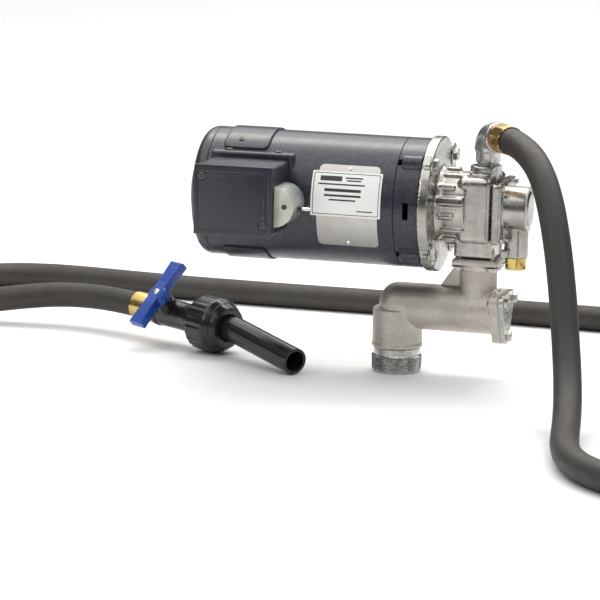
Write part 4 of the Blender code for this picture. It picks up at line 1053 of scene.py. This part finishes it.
def hose_curve():
    """The hose: one smooth curve through the route."""
    data = bpy.data.curves.new("hose_rubber_tube", "CURVE")
    data.dimensions = "3D"
    spline = data.splines.new("NURBS")
    spline.points.add(len(ROUTE) - 1)
    for point, at in zip(spline.points, ROUTE):
        point.co = (*at, 1)
    spline.order_u = 4
    spline.use_endpoint_u = True
    spline.resolution_u = 6
    data.bevel_depth = HOSE_R - 0.0002
    data.bevel_resolution = 6
    data.use_fill_caps = True
    data.materials.append(RUBBER)
    obj = linked("hose_rubber_tube", data)
    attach(obj, "root")
    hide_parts("hose")
    return obj


def nozzle_frame():
    """Local X runs along the flow and local Z along the valve's stem, which leans towards the front."""
    side = Vector((FLOW.y, -FLOW.x, 0)).normalized()
    if side.y > 0:
        side.negate()
    upright = side.cross(FLOW)
    if upright.z < 0:
        upright.negate()
    stem = (cos(STEM_TILT) * upright + sin(STEM_TILT) * side).normalized()
    return placed(FLOW, stem.cross(FLOW), stem, NOZZLE_REAR)


NOZZLE = nozzle_frame()
ALONG_FLOW = NOZZLE @ axes_at((0, 0, 0), X_AXIS)


def nozzle_fitting():
    """A ferrule crimped on the hose in narrow rings, and a hexagon in front of it."""
    sleeve_r, sleeve_end = 0.0172, 0.025
    core_r = 0.0168
    depth, pitch = 0.00045, 0.0034

    def crimped(angle, radius, height):
        if radius <= core_r:
            return radius
        if height < sleeve_end:
            return radius - depth * (0.5 + 0.5 * cos(2 * pi * height / pitch))
        return min(flats(angle, 0.0154), radius)

    outside = [(0.013, 0.044), (0.013, 0.0385), (0.0164, 0.0382), (sleeve_r, 0.037), (sleeve_r, 0.0268)]
    outside += [(core_r, 0.026), (0.0158, 0.0256), (0.0158, 0.0249)]
    rings = 30
    outside += [(sleeve_r, 0.0245 - 0.024 * i / rings) for i in range(rings + 1)]
    inside = [(0.0164, 0.0002), (0.0164, 0.015), (0.0085, 0.015), (0.0085, 0.044)]
    made = lathe(outside + inside, ALONG_FLOW, 96, crimped)
    piece(made, "nozzle_ferrule", BRASS, replaces=("hose_fitting_nozzle",), degrees=30)


def on_stem(height):
    """The nozzle's frame, moved to a height on the valve's stem."""
    return NOZZLE @ Matrix.Translation((VALVE_AT, 0, height))


def nozzle_valve():
    barrel = [
        (0.0195, 0.116), (0.0195, 0.1), (0.019, 0.098), (0.0175, 0.09), (0.0175, 0.0475), (0.0185, 0.047),
        (0.0185, 0.041), (0.0175, 0.04), (0.0134, 0.04), (0.0134, 0.048), (0.0095, 0.048), (0.0095, 0.11),
        (0.0135, 0.116),
    ]
    made = lathe(barrel, ALONG_FLOW)
    bonnet = [(0, 0), (0.0128, 0), (0.0128, 0.011), (0.012, 0.012), (0.012, 0.0172), (0.0114, 0.018),
              (0, 0.018)]
    union(made, lathe(bonnet, on_stem(0.012), 64))
    seat_r = 0.0137
    chamber = [(0, -seat_r)]
    for degrees in range(-75, 76, 15):
        a = radians(degrees)
        chamber.append((seat_r * cos(a), seat_r * sin(a)))
    minus(made, lathe(chamber + [(0, seat_r)], on_stem(0), 48), cylinder(0.0044, 0.03, on_stem(0.005), 32))
    piece(made, "valve_body_moulded", BLACK, replaces=("nozzle_valve_body",), degrees=35)


def nozzle_handle():
    """A T of two tapered wings with ridges along them, on a collared hub."""
    half, wide, narrow, root = 0.048, 0.011, 0.008, 0.012
    loop = [(-narrow, root), (-wide, half), (wide, half), (narrow, root),
            (narrow, -root), (wide, -half), (-wide, -half), (-narrow, -root)]
    at = on_stem(0.039)
    made = prism(loop, -0.006, 0.006, at, 0.0022, 3)
    hub = [(0, -0.0085), (0.0125, -0.0085), (0.0125, 0.004), (0.011, 0.0055), (0, 0.0055)]
    union(made, lathe(hub, at, 64))
    ridge_half, low, high = 0.0006, 0.005, 0.0066
    for sign in (1, -1):
        start, stop = sorted((sign * 0.016, sign * 0.0455))
        for middle in (-0.00572, -0.0018, 0.0018, 0.00572):
            near, far = (middle - ridge_half, start, low), (middle + ridge_half, stop, high)
            union(made, block(near, far, 0.0005, 2, at))
    union(made, cylinder(0.004, 0.018, on_stem(0.0136), 32))
    piece(made, "handle_moulded", BLUE, "nozzle_handle", ("valve_handle",), degrees=30)
    screw_at = at @ Matrix.Translation((0, 0, 0.0055))
    piece(pan_head(screw_at, 0.0046, 0.002), "handle_screw", STEEL, "nozzle_handle")


def union_nut():
    middle = (NUT_CENTRE - NOZZLE_REAR).length
    ribs, depth = 26, 0.0009
    ribs_from_r, ribs_up_to = 0.032, 0.01

    def ribbed(angle, radius, height):
        if radius < ribs_from_r or height > ribs_up_to:
            return radius
        return radius - depth * (0.5 - 0.5 * cos(ribs * angle)) ** 0.7

    profile = [
        (0.0175, 0.03), (0.0175, 0.022), (0.0298, 0.022), (0.0298, -0.012), (0.02, -0.0145),
        (0.02, -0.017), (0.03, -0.017), (0.0318, -0.016), (0.0335, -0.0142), (0.034, -0.012),
        (0.034, 0.0095), (0.034, 0.013), (0.0334, 0.015), (0.03, 0.0205), (0.029, 0.022), (0.028, 0.0245),
        (0.0256, 0.029), (0.025, 0.0298), (0.0242, 0.03),
    ][::-1]
    at = NOZZLE @ Matrix.Translation((middle, 0, 0)) @ axes_at((0, 0, 0), X_AXIS)
    made = lathe(profile, at, 208, ribbed)
    piece(made, "nut_ribbed", BLACK, replaces=("union_nut",), degrees=35)


# Looks of the CAD pieces that stay: the spout, and what is inside the casings


KEPT = {
    STEEL: ("motor_shaft", "shaft_coupling", "pump_shaft", "drive_gear", "idler_gear", "idler_pin",
            "armature", "valve_ball", "bypass_poppet", "bypass_spring", "strainer_screen", "rear_bearing",
            "front_bearing"),
    COPPER: ("commutator",),
    BRASS: ("body_bush", "cover_bush", "brush_holder_top", "brush_holder_bottom"),
    CARBON: ("brush_top", "brush_bottom"),
    MAGNET: ("magnet_front", "magnet_back"),
    BLACK: ("cooling_fan", "spout"),
    SEAL: ("shaft_seal",),
}


def inner_looks():
    for look, names in KEPT.items():
        for name in names:
            materials = NODES[name].data.materials
            for i in range(len(materials)):
                materials[i] = look


def build():
    camera()
    studio()
    tube = hose_curve()
    motor_casings()
    brush_cover("top", 0)
    brush_cover("bottom", 180)
    name_plate()
    conduit_box()
    switch()
    pump_body()
    pump_cover()
    suction_housing()
    bung_adapter()
    discharge_elbow()
    nozzle_fitting()
    nozzle_valve()
    nozzle_handle()
    union_nut()
    inner_looks()


build()
bpy.context.scene.view_settings.view_transform = "Standard"
